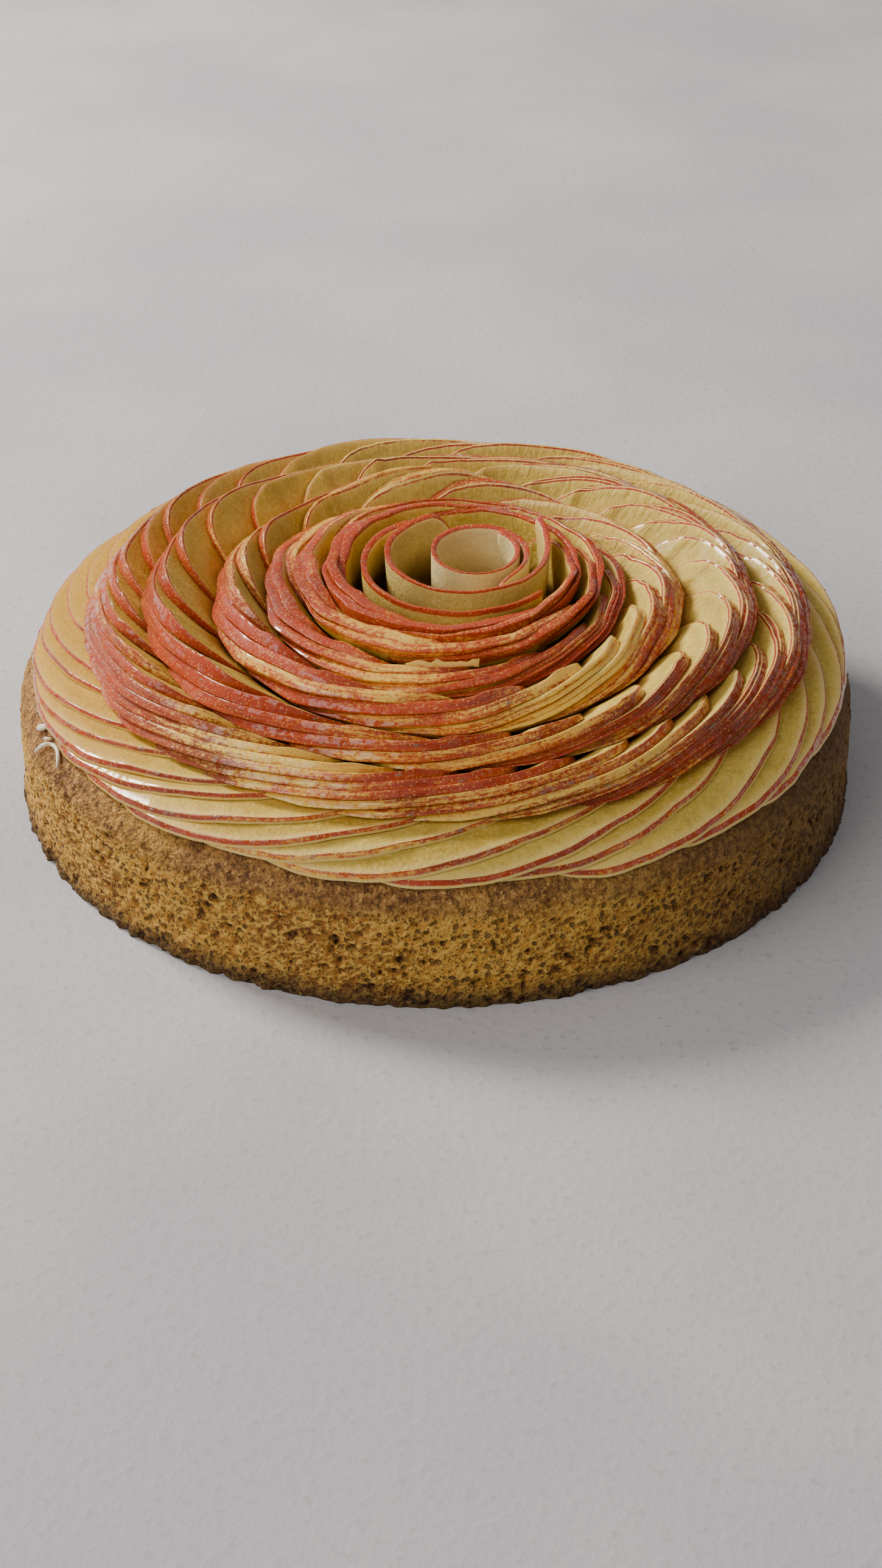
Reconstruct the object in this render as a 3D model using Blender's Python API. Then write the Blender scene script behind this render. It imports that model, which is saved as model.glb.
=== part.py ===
# A round apple tart: a thick baked crumb base that carries a rose of thin apple half-moons.
# Dimensions are in millimetres and angles in degrees. Meshes are scaled to metres as they are made.
# The origin is the centre of the underside, the front is towards -Y and the right is towards +X.

import math
import random

import bmesh
import bpy
import numpy as np
from mathutils import Vector, noise

MM = 0.001

# The baked base
BASE_RADIUS = 110.0
BASE_HEIGHT = 35.0
FOOT_SPREAD = 1.2
EDGE_ROUND = 12.0
BASE_SIDES = 72
CRUMB_RELIEF = 0.7
CRUMB_SIZE = 7.0

# The apple rose, from the outermost ring inwards
FLOOR_Z = BASE_HEIGHT + 0.4
NODE_GAP = 0.7
FUSE_LAP = 0.42
SHORTEST_EDGE = 0.02
SKIN_SLANT = 0.6
SMALLEST_SLICE = 1.6

# Each ring leans outwards, and its slices overlap so that each runs from the outside of the stack, at its
# clockwise end, to the inside, and thins towards both ends. The stack is as thick all the way round.
# rim is the radius and height of the outermost skin line. The skin line sinks by tip_drop along the slice
# towards its inner end and by tail_drop towards its outer end, and both ends are pointed. Places are counted
# in slices, and step is the length of a facet. The slices are crowd closer together near the angle crowd_at.
# gap is the space to the ring outside.
RINGS = {
    "b": dict(slices=33, fan=3, rim=(95.6, 43.0), lean=55.0, width=58.0, stack=11.9, step=0.75, gap=0.8,
              tip_drop=15.0, tail_drop=1.8, crest=-0.15, crowd=0.08, crowd_at=185.0, seed=21),
    "c": dict(slices=24, fan=3, rim=(80.1, 47.6), lean=55.0, width=52.0, stack=8.8, step=0.6, gap=0.6,
              tip_drop=14.0, tail_drop=1.8, crest=-0.15, crowd=0.20, crowd_at=40.0, seed=32),
    "d": dict(slices=18, fan=3, rim=(61.6, 47.6), lean=45.0, width=70.0, stack=9.9, step=0.6, gap=0.6,
              tip_drop=10.0, tail_drop=2.0, crest=-0.10, crowd=0.10, crowd_at=0.0, seed=43),
    "e": dict(slices=12, fan=3, rim=(47.6, 50.2), lean=38.0, width=92.0, stack=6.6, step=0.4, gap=0.8,
              tip_drop=8.0, tail_drop=3.0, crest=-0.10, crowd=0.10, crowd_at=330.0, seed=54),
    "f": dict(slices=6, fan=2, rim=(40.3, 55.6), lean=28.0, width=118.0, stack=4.1, step=0.2, gap=1.2,
              tip_drop=6.0, tail_drop=3.0, crest=-0.10, crowd=0.0, crowd_at=0.0, seed=65),
    "g": dict(slices=5, fan=1, rim=(33.4, 57.4), lean=9.0, width=138.0, stack=3.7, step=1 / 6, gap=1.0,
              tip_drop=4.5, tail_drop=2.5, crest=0.0, crowd=0.0, crowd_at=0.0, seed=76),
}

# The ends of a slice are pointed: CORNER_CUT of its height is cut away there, over the more of its length
# the smaller END_POINT is. It ends where it would be thinner than THIN_END.
END_POINT = 14
CORNER_CUT = 0.6
THIN_END = 0.6

# The inner ends sink least at the left and most at OPEN_AT, where the slices' faces show.
OPEN_AT = 20.0
LEAST_SINK = 0.05

# The outer ring lies flat on the base like shingles and hangs a little over its edge.
OUTER = dict(slices=30, fan=3, width=54.0, stack=6.9, step=0.8, rim_radius=107.0, tip_drop=24.0,
             tail_drop=3.5, crest=-0.50, crowd=0.15, crowd_at=180.0, solver="MANIFOLD", seed=28)
OUTER_LIFT = 4.6
OUTER_SAG = 1.0
OUTER_INSIDE = 84.0
OUTER_KNEE = 101.0
OUTER_SHIFT = 1.3
OUTER_WAVE = 0.5
TUCK_RADIUS = 93.0
KNEE_CLEARANCE = 0.6
EDGE_CLEARANCE = 1.0

# The rings aren't quite concentric, and the rose is higher at its sides and back than at its front.
# A layer is known by its radius at GAUGE_HEIGHT in the even rose.
GAUGE_HEIGHT = 45.0
SHIFT_RADII = (17.0, 24.0, 33.0, 43.0, 56.0, 75.0, 95.0)
SHIFT_X = (8.0, 6.2, 3.4, 2.0, 2.8, 3.4, 2.6)
SHIFT_Y = (3.4, 2.2, -1.6, -3.8, -4.0, -1.2, 0.0)
BACK_RISE = (0.0, 1.0, 0.6, 1.2, 0.5, 1.6, 1.6)
SIDE_RISE = (0.0, 0.0, 0.8, 2.6, 3.6, 0.8, 0.3)
RISE_FULL_AT = 12.0
WOBBLE = ((3, 0.006, 0.8), (5, 0.004, 2.1))
TALL_PETAL = dict(angle=96.0, spread=27.0, radius=53.0, reach=6.5, height=6.5)

# Slices on edge: the bud at the centre, where two slices are wrapped round a rolled one, and a loose flake
# that lies on the rings in front of it. Each runs anticlockwise from start. Its radius is rest far from the
# end that opens, and opens by open_by there within open_over degrees. The rim is at top, higher by back_up
# at the back, and rises by rise to a point at its far end.
ON_EDGE = {
    "apple_wrap_outer": dict(centre=(6.2, 0.6), rest=25.6, open_by=0.4, open_over=-30.0, start=108.0,
                             turn=216.0, thickness=1.7, foot=46.0, top=59.4, back_up=1.0, rise=0.0,
                             steps=16, lean=3.0),
    "apple_wrap_inner": dict(centre=(7.6, 3.5), rest=20.9, open_by=3.6, open_over=-35.0, start=95.0,
                             turn=300.0, thickness=1.7, foot=39.5, top=60.9, back_up=0.9, rise=2.2,
                             steps=18, lean=3.0),
    "apple_roll": dict(centre=(10.6, 4.4), rest=11.2, open_by=5.2, open_over=125.0, start=-90.0,
                       turn=505.0, thickness=1.5, foot=35.9, top=60.6, back_up=1.0, rise=0.0,
                       steps=24, lean=0.0),
    "apple_flake": dict(centre=(2.5, -3.8), rest=43.6, open_by=0.0, open_over=90.0, start=257.0,
                        turn=24.0, thickness=1.1, foot=55.0, top=57.4, back_up=0.0, rise=0.0,
                        steps=4, lean=20.0),
}
POINT_LENGTH = 0.16
POINT_HEIGHT = 3.0

# Loose parings on the sloping edge of the base, at the left: a curl, a strip and a crumb of peel
PARING_GAP = 0.4
CURL = dict(angle=207.4, down=15.6, bend=7.4, first=196.0, turn=128.0, thickness=1.1, height=1.2)
STRIP = dict(first=(203.6, 9.4), last=(205.2, 7.9), thickness=1.0, height=0.9)
CHIP = dict(first=(200.6, 9.6), last=(202.4, 7.2), thickness=2.2, height=1.2)


def polar(radius, angle):
    return radius * math.cos(angle), radius * math.sin(angle)


def shifted(radius, height, angle, gauge):
    """A point of the even rose moved to its place in the uneven one, so that each layer stays straight."""
    across = float(np.interp(gauge, SHIFT_RADII, SHIFT_X))
    along = float(np.interp(gauge, SHIFT_RADII, SHIFT_Y))
    wobble = 1.0
    for waves, size, phase in WOBBLE:
        wobble += size * math.sin(waves * angle + phase)
    x, y = polar(radius * wobble, angle)
    back = float(np.interp(gauge, SHIFT_RADII, BACK_RISE)) * (1 + math.sin(angle))
    side = float(np.interp(gauge, SHIFT_RADII, SIDE_RISE)) * math.cos(angle) ** 2
    turn = (math.degrees(angle) - TALL_PETAL["angle"] + 180.0) % 360.0 - 180.0
    off_radius = (gauge - TALL_PETAL["radius"]) / TALL_PETAL["reach"]
    petal = TALL_PETAL["height"] * math.exp(-((turn / TALL_PETAL["spread"]) ** 2) - off_radius ** 2)
    part = (height - FLOOR_Z) / RISE_FULL_AT
    return x + across, y + along, height + part * (back + side + petal)


def spread_angle(ring, place):
    """The angle of a place counted in slices, with the slices closer together on one side of the ring."""
    turn = math.tau * place / ring["slices"]
    return turn - ring["crowd"] * math.sin(turn - math.radians(ring["crowd_at"]))


def layers_at(ring, place):
    """How many slices lie over each other at a place."""
    spacing = math.degrees(spread_angle(ring, place + 0.5) - spread_angle(ring, place - 0.5))
    return ring["width"] / spacing


def slice_faces(ring, index, place, lap):
    """How deep in its stack a slice's outer and inner faces are at a place."""
    overlap = layers_at(ring, place)
    outer = min(1.0, max(0.0, (place - index) / overlap + 0.5))
    inner = min(1.0, max(0.0, (place - index + 1) / overlap + 0.5))
    return ring["stack"] * outer, ring["stack"] * inner + lap


def slice_ends(ring, index, lap):
    """The first and the last place at which a slice is thick enough to stand."""
    reach = layers_at(ring, index) / 2 + 1.5
    thick = []
    for step in range(301):
        place = index + reach * (step / 150 - 1)
        outer, inner = slice_faces(ring, index, place, lap)
        if inner - outer >= THIN_END:
            thick.append(place)
    return thick[0], thick[-1]


def lean_of(ring):
    """Unit vectors in (radius, height): up along a slice, and across the stack towards its inside."""
    lean = math.radians(ring["lean"])
    return Vector((math.sin(lean), math.cos(lean))), Vector((-math.cos(lean), math.sin(lean)))


def gauge_of(ring, layer):
    """The radius of a layer at the gauge height."""
    along, across = lean_of(ring)
    point = Vector(ring["rim"]) + across * layer
    return point.x - (point.y - GAUGE_HEIGHT) * along.x / along.y


def inner_face(ring):
    """A point on the stack's inmost face, and that face's normal."""
    _, across = lean_of(ring)
    return Vector(ring["rim"]) + across * (ring["stack"] + FUSE_LAP), across


def foot_depth(ring, outside, layer):
    """How far below its rim a slice's foot is: on the base, or on the ring outside it."""
    along, across = lean_of(ring)
    top = Vector(ring["rim"]) + across * layer
    depth = (top.y - FLOOR_Z) / along.y
    if outside is None:
        return depth
    face, normal = inner_face(outside)
    closing = along.dot(normal)
    if closing <= 1e-6:
        return depth
    return min(depth, ((top - face).dot(normal) - ring["gap"]) / closing)


def skin_drop(ring, place, tip, tail):
    """How far the skin line is below the full rim, where place runs from -1 to 1 along the slice."""
    crest = ring["crest"]
    if place > crest:
        return tip * ((place - crest) / (1 - crest)) ** 2
    return tail * ((crest - place) / (1 + crest)) ** 2


def grid_places(first, last, step):
    """The ring's common grid between two places, and the two places, so that neighbours have like facets."""
    start = math.ceil(first / step + 0.25)
    stop = math.floor(last / step - 0.25)
    return [first] + [index * step for index in range(start, stop + 1)] + [last]


def strip_mesh(name, sections):
    """A closed solid through sections that all have the same number of corners."""
    shape = bmesh.new()
    loops = [[shape.verts.new(Vector(point) * MM) for point in section] for section in sections]
    for first, second in zip(loops, loops[1:]):
        for index in range(len(first)):
            following = (index + 1) % len(first)
            shape.faces.new((first[index], first[following], second[following], second[index]))
    shape.faces.new(reversed(loops[0]))
    shape.faces.new(loops[-1])
    bmesh.ops.recalc_face_normals(shape, faces=shape.faces)
    bmesh.ops.triangulate(shape, faces=shape.faces)
    mesh = bpy.data.meshes.new(name)
    shape.to_mesh(mesh)
    shape.free()
    return mesh


def ring_sections(ring, outside, index, lap, chance):
    """The cross-sections of one slice of a leaning ring, from its outer end to its inner end."""
    along, across = lean_of(ring)
    rim = Vector(ring["rim"])
    first, last = slice_ends(ring, index, lap)
    last -= chance.uniform(0.0, 0.1)
    facing = 0.5 + 0.5 * math.cos(spread_angle(ring, index) - math.radians(OPEN_AT))
    sink = LEAST_SINK + (1 - LEAST_SINK) * facing ** 2
    tip = ring["tip_drop"] * sink * chance.uniform(0.85, 1.1)
    tail = ring["tail_drop"] * chance.uniform(0.8, 1.2)
    raise_by = chance.uniform(-0.4, 0.4)
    sections = []
    for place in grid_places(first, last, ring["step"]):
        angle = spread_angle(ring, place)
        outer, inner = slice_faces(ring, index, place, lap)
        along_slice = 2 * (place - first) / (last - first) - 1
        drop = skin_drop(ring, along_slice, tip, tail) + raise_by
        foot = foot_depth(ring, outside, outer)
        inner_foot = foot_depth(ring, outside, inner)
        drop += CORNER_CUT * (foot - drop) * abs(along_slice) ** END_POINT
        drop = min(drop, foot - SMALLEST_SLICE - SKIN_SLANT)
        corners = ((outer, foot), (outer, drop), (inner, drop + SKIN_SLANT), (inner, inner_foot))
        section = []
        for depth, below in corners:
            corner = rim + across * depth - along * below
            section.append(shifted(corner.x, corner.y, angle, gauge_of(ring, depth)))
        sections.append(section)
    return sections


def base_surface(radius):
    """The height of the base's upper surface at a radius."""
    over = max(0.0, radius - (BASE_RADIUS - 0.3 - EDGE_ROUND))
    return BASE_HEIGHT - EDGE_ROUND + math.sqrt(max(0.0, EDGE_ROUND ** 2 - over ** 2))


def outer_height(radius, angle):
    """The height that the outer ring's lowest slices lie at: bent down at the front, lifted at the back."""
    rise = OUTER_LIFT * math.sin(angle) - OUTER_SAG + OUTER_WAVE * math.sin(4 * angle + 0.6)
    rim = OUTER["rim_radius"]
    start = FLOOR_Z + 0.4
    off_centre = OUTER_SHIFT * math.cos(angle)
    knee_height = max(start + rise * 0.6, base_surface(OUTER_KNEE + off_centre) + KNEE_CLEARANCE)
    edge_height = max(start + rise, base_surface(rim + off_centre) + EDGE_CLEARANCE)
    if radius < OUTER_KNEE:
        part = (radius - OUTER_INSIDE) / (OUTER_KNEE - OUTER_INSIDE)
        return start + (knee_height - start) * part
    part = (radius - OUTER_KNEE) / (rim - OUTER_KNEE)
    return knee_height + (edge_height - knee_height) * part


def next_ring_edge(angle, height):
    """The radius at which the outer ring's slices go under the next ring in."""
    ring = RINGS["b"]
    along, _ = lean_of(ring)
    rim_radius, rim_height = ring["rim"]
    low, high = 60.0, 110.0
    for _ in range(24):
        radius = (low + high) / 2
        even = rim_height - (rim_radius - radius) * along.y / along.x
        face_height = shifted(radius, even, angle, gauge_of(ring, 0.0))[2]
        if face_height > height:
            high = radius
        else:
            low = radius
    x, y, _ = shifted(high, rim_height, angle, gauge_of(ring, 0.0))
    return math.hypot(x - OUTER_SHIFT, y) + ring["gap"]


def outer_span(index, place, ends, tip, pull, lap):
    """The angle and levels of one place on a flat slice, and the radii of its inner edge and its skin."""
    ring = OUTER
    angle = spread_angle(ring, place)
    low, high = slice_faces(ring, index, place, lap)
    along_slice = 2 * (place - ends[0]) / (ends[1] - ends[0]) - 1
    edge = ring["rim_radius"] - skin_drop(ring, along_slice, tip, ring["tail_drop"]) + pull
    tuck = next_ring_edge(angle, outer_height(TUCK_RADIUS, angle) + high)
    return angle, low, high, max(OUTER_INSIDE, tuck), edge


def outer_sections(index, lap, chance):
    """The cross-sections of one flat slice of the outer ring, up to where it goes under the next ring."""
    ring = OUTER
    ends = slice_ends(ring, index, lap)
    tip = ring["tip_drop"] * chance.uniform(0.85, 1.1)
    pull = chance.uniform(-0.8, 0.8)
    low_place, high_place = index, ends[1]
    for _ in range(20):
        last = (low_place + high_place) / 2
        _, _, _, inner, edge = outer_span(index, last, ends, tip, pull, lap)
        if edge - inner > SMALLEST_SLICE:
            low_place = last
        else:
            high_place = last
    sections = []
    for place in grid_places(ends[0], low_place, ring["step"]):
        angle, low, high, inner, edge = outer_span(index, place, ends, tip, pull, lap)
        middle = min(max(OUTER_KNEE, inner + 0.15 * (edge - inner)), inner + 0.9 * (edge - inner))
        corners = ((inner, low), (middle, low), (edge, low), (edge - SKIN_SLANT, high), (middle, high),
                   (inner, high))
        section = []
        for radius, level in corners:
            x, y = polar(radius, angle)
            section.append((x + OUTER_SHIFT, y, outer_height(radius, angle) + level))
        sections.append(section)
    return sections


def make_material(name, colour, roughness):
    material = bpy.data.materials.new(name)
    material.use_nodes = True
    surface = material.node_tree.nodes["Principled BSDF"]
    surface.inputs["Base Color"].default_value = (*colour, 1.0)
    surface.inputs["Roughness"].default_value = roughness
    surface.inputs["Metallic"].default_value = 0.0
    return material


def place_object(name, mesh, material):
    piece = bpy.data.objects.new(name, mesh)
    bpy.context.scene.collection.objects.link(piece)
    mesh.materials.clear()
    mesh.materials.append(material)
    return piece


def keep_largest_island(mesh):
    """Closes the shortest edges, drops loose scraps and fills the sealed hollows that fusing can leave."""
    shape = bmesh.new()
    shape.from_mesh(mesh)
    bmesh.ops.dissolve_degenerate(shape, edges=shape.edges, dist=SHORTEST_EDGE * MM)
    left = set(shape.verts)
    islands = []
    while left:
        island = set()
        edge = [left.pop()]
        while edge:
            vertex = edge.pop()
            island.add(vertex)
            for side in vertex.link_edges:
                other = side.other_vert(vertex)
                if other in left:
                    left.remove(other)
                    edge.append(other)
        islands.append(island)
    islands.sort(key=len)
    for island in islands[:-1]:
        bmesh.ops.delete(shape, geom=list(island), context="VERTS")
    shape.to_mesh(mesh)
    shape.free()


def fuse(name, meshes, material, solver="EXACT"):
    """One solid made of overlapping slices."""
    first = place_object(name, meshes[0], material)
    if len(meshes) == 1:
        return first
    others = bpy.data.collections.new(name + "_slices")
    for index, mesh in enumerate(meshes[1:]):
        others.objects.link(bpy.data.objects.new(f"{name}_slice_{index}", mesh))
    union = first.modifiers.new("fuse", "BOOLEAN")
    union.operation = "UNION"
    union.operand_type = "COLLECTION"
    union.solver = solver
    union.collection = others
    bpy.context.view_layer.update()
    graph = bpy.context.evaluated_depsgraph_get()
    fused = bpy.data.meshes.new_from_object(first.evaluated_get(graph))
    first.modifiers.remove(union)
    keep_largest_island(fused)
    first.data = fused
    fused.name = name
    for piece in list(others.objects):
        bpy.data.objects.remove(piece)
    bpy.data.collections.remove(others)
    return first


def make_ring(letter, ring, outside, material):
    """All the slices of a ring, joined into fans of a few slices each."""
    chance = random.Random(ring["seed"])
    for first in range(0, ring["slices"], ring["fan"]):
        meshes = []
        for index in range(first, first + ring["fan"]):
            lap = -NODE_GAP if index == first else FUSE_LAP
            if ring is OUTER:
                sections = outer_sections(index, lap, chance)
            else:
                sections = ring_sections(ring, outside, index, lap, chance)
            meshes.append(strip_mesh(f"slice_{letter}", sections))
        place_name = f"apple_{letter}_{first // ring['fan'] + 1:02d}"
        fuse(place_name, meshes, material, ring.get("solver", "EXACT"))


def on_edge_sections(sizes):
    """The cross-sections of a slice that is wrapped on edge, pointed at its far end if it rises there."""
    sections = []
    for step in range(sizes["steps"] + 1):
        turned = sizes["turn"] * step / sizes["steps"]
        from_opening = turned if sizes["open_over"] > 0 else turned - sizes["turn"]
        angle = math.radians(sizes["start"] + turned)
        outer = sizes["rest"] + sizes["open_by"] * math.exp(-from_opening / sizes["open_over"])
        inner = outer - sizes["thickness"]
        point = max(0.0, 1 - (sizes["turn"] - turned) / (sizes["turn"] * POINT_LENGTH))
        top = sizes["top"] + sizes["back_up"] * math.sin(angle) + sizes["rise"] * point
        foot = sizes["foot"] + (top - sizes["foot"] - POINT_HEIGHT) * point ** 2
        flare = math.tan(math.radians(sizes["lean"])) * (top - foot)
        rim = ((outer - flare, foot), (outer, top), (inner, top - SKIN_SLANT), (inner - flare, foot))
        section = []
        for radius, level in rim:
            x, y = polar(radius, angle)
            section.append((x + sizes["centre"][0], y + sizes["centre"][1], level))
        sections.append(section)
    return sections


def make_base(material):
    """The turned base with crumb relief on its side and a flat underside."""
    low = FOOT_SPREAD
    profile = [(BASE_RADIUS + low * 0.4, 0.0), (BASE_RADIUS + low, 1.6), (BASE_RADIUS + low * 0.5, 8.0),
               (BASE_RADIUS, 16.0), (BASE_RADIUS - 0.3, BASE_HEIGHT - EDGE_ROUND)]
    for turn in (22.5, 45.0, 67.5, 90.0):
        angle = math.radians(turn)
        profile.append((BASE_RADIUS - 0.3 - EDGE_ROUND * (1 - math.cos(angle)),
                        BASE_HEIGHT - EDGE_ROUND * (1 - math.sin(angle))))
    shape = bmesh.new()
    loops = []
    for row, (radius, height) in enumerate(profile):
        loop = []
        for side in range(BASE_SIDES):
            angle = math.tau * (side + 0.5 * (row % 2)) / BASE_SIDES
            x, y = polar(radius, angle)
            bump = noise.noise(Vector((x, y, height)) / CRUMB_SIZE)
            relief = 0.0 if row == len(profile) - 1 else CRUMB_RELIEF * bump
            x, y = polar(radius + relief, angle)
            loop.append(shape.verts.new(Vector((x, y, height)) * MM))
        loops.append(loop)
    for row, (lower, upper) in enumerate(zip(loops, loops[1:])):
        for side in range(BASE_SIDES):
            following = (side + 1) % BASE_SIDES
            if row % 2 == 0:
                shape.faces.new((lower[side], lower[following], upper[side]))
                shape.faces.new((lower[following], upper[following], upper[side]))
            else:
                shape.faces.new((lower[side], upper[following], upper[side]))
                shape.faces.new((lower[side], lower[following], upper[following]))
    shape.faces.new(reversed(loops[0]))
    shape.faces.new(loops[-1])
    bmesh.ops.recalc_face_normals(shape, faces=shape.faces)
    bmesh.ops.triangulate(shape, faces=shape.faces)
    mesh = bpy.data.meshes.new("tart_base")
    shape.to_mesh(mesh)
    shape.free()
    mesh.shade_smooth()
    place_object("tart_base", mesh, material)


def edge_point(angle, down, lift):
    """A point above the base's rounded edge, down millimetres outwards from where the rounding starts."""
    turn = down / EDGE_ROUND
    radius = BASE_RADIUS - 0.3 - EDGE_ROUND + (EDGE_ROUND + lift) * math.sin(turn)
    height = BASE_HEIGHT - EDGE_ROUND + (EDGE_ROUND + lift) * math.cos(turn)
    x, y = polar(radius, math.radians(angle))
    return Vector((x, y, height))


def lying_paring(name, route, thickness, height, material):
    """A thin paring that lies along a route of (angle, down) places on the base's edge."""
    sections = []
    for index, (angle, down) in enumerate(route):
        before = edge_point(*route[max(0, index - 1)], PARING_GAP)
        after = edge_point(*route[min(len(route) - 1, index + 1)], PARING_GAP)
        low = edge_point(angle, down, PARING_GAP)
        up = (edge_point(angle, down, PARING_GAP + 1.0) - low).normalized()
        side = up.cross(after - before).normalized() * thickness / 2
        high = low + up * height
        sections.append([low - side, low + side, high + side * 0.6, high - side * 0.6])
    place_object(name, strip_mesh(name, sections), material)


def make_parings(material):
    """The curl, the strip and the chip of peel on the base's edge."""
    curl = []
    for step in range(9):
        turn = math.radians(CURL["first"] + CURL["turn"] * step / 8)
        across = math.degrees(CURL["bend"] * math.cos(turn) / BASE_RADIUS)
        curl.append((CURL["angle"] + across, CURL["down"] + CURL["bend"] * math.sin(turn)))
    lying_paring("peel_curl", curl, CURL["thickness"], CURL["height"], material)
    for name, paring in (("peel_strip", STRIP), ("peel_chip", CHIP)):
        lying_paring(name, [paring["first"], paring["last"]], paring["thickness"], paring["height"], material)


def main():
    for piece in list(bpy.data.objects):
        bpy.data.objects.remove(piece)
    crumb = make_material("baked_crumb", (0.36, 0.19, 0.07), 0.85)
    apple = make_material("apple_slice", (0.80, 0.55, 0.22), 0.35)
    paring = make_material("pale_paring", (0.86, 0.74, 0.50), 0.5)
    make_base(crumb)
    make_ring("a", OUTER, None, apple)
    outside = None
    for letter, ring in RINGS.items():
        make_ring(letter, ring, outside, apple)
        outside = ring
    for name, sizes in ON_EDGE.items():
        place_object(name, strip_mesh(name, on_edge_sections(sizes)), apple)
    make_parings(paring)


main()
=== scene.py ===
import math
import random

import bpy
import numpy as np
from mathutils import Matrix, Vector, noise


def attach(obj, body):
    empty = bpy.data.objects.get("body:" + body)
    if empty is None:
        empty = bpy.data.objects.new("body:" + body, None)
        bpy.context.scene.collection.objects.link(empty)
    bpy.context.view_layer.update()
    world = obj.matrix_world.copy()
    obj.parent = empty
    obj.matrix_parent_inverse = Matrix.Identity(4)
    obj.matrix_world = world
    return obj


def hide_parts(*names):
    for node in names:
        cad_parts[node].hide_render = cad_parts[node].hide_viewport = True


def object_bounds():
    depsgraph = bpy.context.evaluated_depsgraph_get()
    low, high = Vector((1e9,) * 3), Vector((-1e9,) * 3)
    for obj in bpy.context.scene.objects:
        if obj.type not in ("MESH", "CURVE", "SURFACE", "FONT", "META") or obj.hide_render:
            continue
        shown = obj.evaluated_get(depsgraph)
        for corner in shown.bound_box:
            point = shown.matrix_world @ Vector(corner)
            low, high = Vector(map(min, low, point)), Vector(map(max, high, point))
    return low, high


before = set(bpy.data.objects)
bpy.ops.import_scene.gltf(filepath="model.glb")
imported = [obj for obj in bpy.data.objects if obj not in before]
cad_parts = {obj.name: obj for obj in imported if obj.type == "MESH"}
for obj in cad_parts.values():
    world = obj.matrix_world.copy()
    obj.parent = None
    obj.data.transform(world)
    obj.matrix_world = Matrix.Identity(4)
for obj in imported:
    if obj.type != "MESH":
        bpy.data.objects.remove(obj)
cad_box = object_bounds()

# The camera is about 65 cm from the middle of the tart and looks down on it at 33 degrees, level from side
# to side, with an upright frame.
CAMERA_PLACE = (0.0014, -0.5584, 0.3556)
CAMERA_TILT = 56.818
SENSOR_HEIGHT = 36.0
FOCAL_LENGTH = 55.9
NEAREST = 0.02
camera = bpy.data.objects.new("camera", bpy.data.cameras.new("camera"))
camera.location = CAMERA_PLACE
camera.rotation_euler = (math.radians(CAMERA_TILT), 0.0, 0.0)
camera.data.sensor_fit = "VERTICAL"
camera.data.sensor_height = SENSOR_HEIGHT
camera.data.lens = FOCAL_LENGTH
camera.data.clip_start = NEAREST
bpy.context.scene.collection.objects.link(camera)
bpy.context.scene.camera = camera

# The base is a thick round of sweet crumb, pressed into a ring, baked and turned out. Its side is open and
# porous with pale golden ridges and brown cells, whose dark is painted shade, its rounded upper edge is finer
# and toasted, and its foot is ragged and nearly burnt. Its right side, away from the light, is darkened with
# painted shade.
MM = 0.001
BASE_RADIUS = 110.0
BASE_HEIGHT = 35.0
SIDE_RADIUS = BASE_RADIUS - 0.3
EDGE_ROUND = 12.0
EDGE_START = SIDE_RADIUS - EDGE_ROUND
TOP_INSIDE = 82.0
LARGEST_RADIUS = 111.3
BASE_COLUMNS = 800
SIDE_ROWS = 54
EDGE_ROWS = 42
TOP_ROWS = 11
FOOT_RADIUS = BASE_RADIUS - 0.25
FOOT_SPREAD = 1.2
FLARE, FLARE_OVER = 0.45, 9.0
LIP, LIP_AT, LIP_OVER = 0.35, 2.0, 2.2
RAGGED, RAGGED_OVER, RAGGED_SIZE, RAGGED_LAYER = 1.1, 2.4, 3.0, 5.0
FINE_FROM, FINE_OVER = 22.0, 8.0
SWELLS = ((0.55, 15.0), (0.45, 5.0))
PATCH_SIZE = 8.0
PATCH_SHIFT = Vector((31.0, 7.0, 3.0))
BEND, BEND_SIZE = 0.9, 2.2
BEND_SHIFTS = (Vector((0.0, 0.0, 0.0)), Vector((9.0, 0.0, 0.0)), Vector((0.0, 9.0, 0.0)))
HOLE_SIZE, HOLE_REACH, HOLE_DEPTH = 3.4, 0.42, 1.9
PORE_SIZE, PORE_REACH, PORE_DEPTH = 1.7, 0.45, 0.65
SAND_SIZE = 0.8
SIDE_SAND, EDGE_SAND = 0.24, 0.06
OPEN_SHARE, OPEN_VARIES = 0.75, 1.6
FEWER_HOLES, FEWER_PORES, LESS_SWELL = 0.85, 0.6, 0.4
HOLE_PIT, PORE_PIT = 1.15, 0.5
RIDGE_KEPT = 0.35
TOP_KEPT = 0.3
GOLDEN_BROWN = (0.33, 0.125, 0.014)
GOLDEN = (0.66, 0.32, 0.040)
GOLDEN_PALE = (0.78, 0.46, 0.085)
TOASTED_DARK = (0.15, 0.058, 0.014)
TOASTED = (0.46, 0.215, 0.052)
SANDY_PALE = (0.74, 0.43, 0.115)
SANDY_DARK = (0.060, 0.022, 0.008)
HOLE_SHADE = (0.075, 0.026, 0.006)
PORE_SHADE = (0.12, 0.045, 0.010)
BURNT = (0.030, 0.012, 0.006)
PIT_SHADE = (0.045, 0.016, 0.005)
RIGHT_SIDE_SHADE = (0.070, 0.026, 0.009)
SUGAR = (0.85, 0.64, 0.32)


def wall(rows, columns):
    """The quads between closed rows of points, with the index of each point and of the next in its row."""
    index = np.arange(rows * columns).reshape(rows, columns)
    following = np.roll(index, -1, axis=1)
    quads = np.stack([index[:-1], following[:-1], following[1:], index[1:]], axis=-1).reshape(-1, 4)
    return quads.tolist(), index.tolist(), following.tolist()


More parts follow.
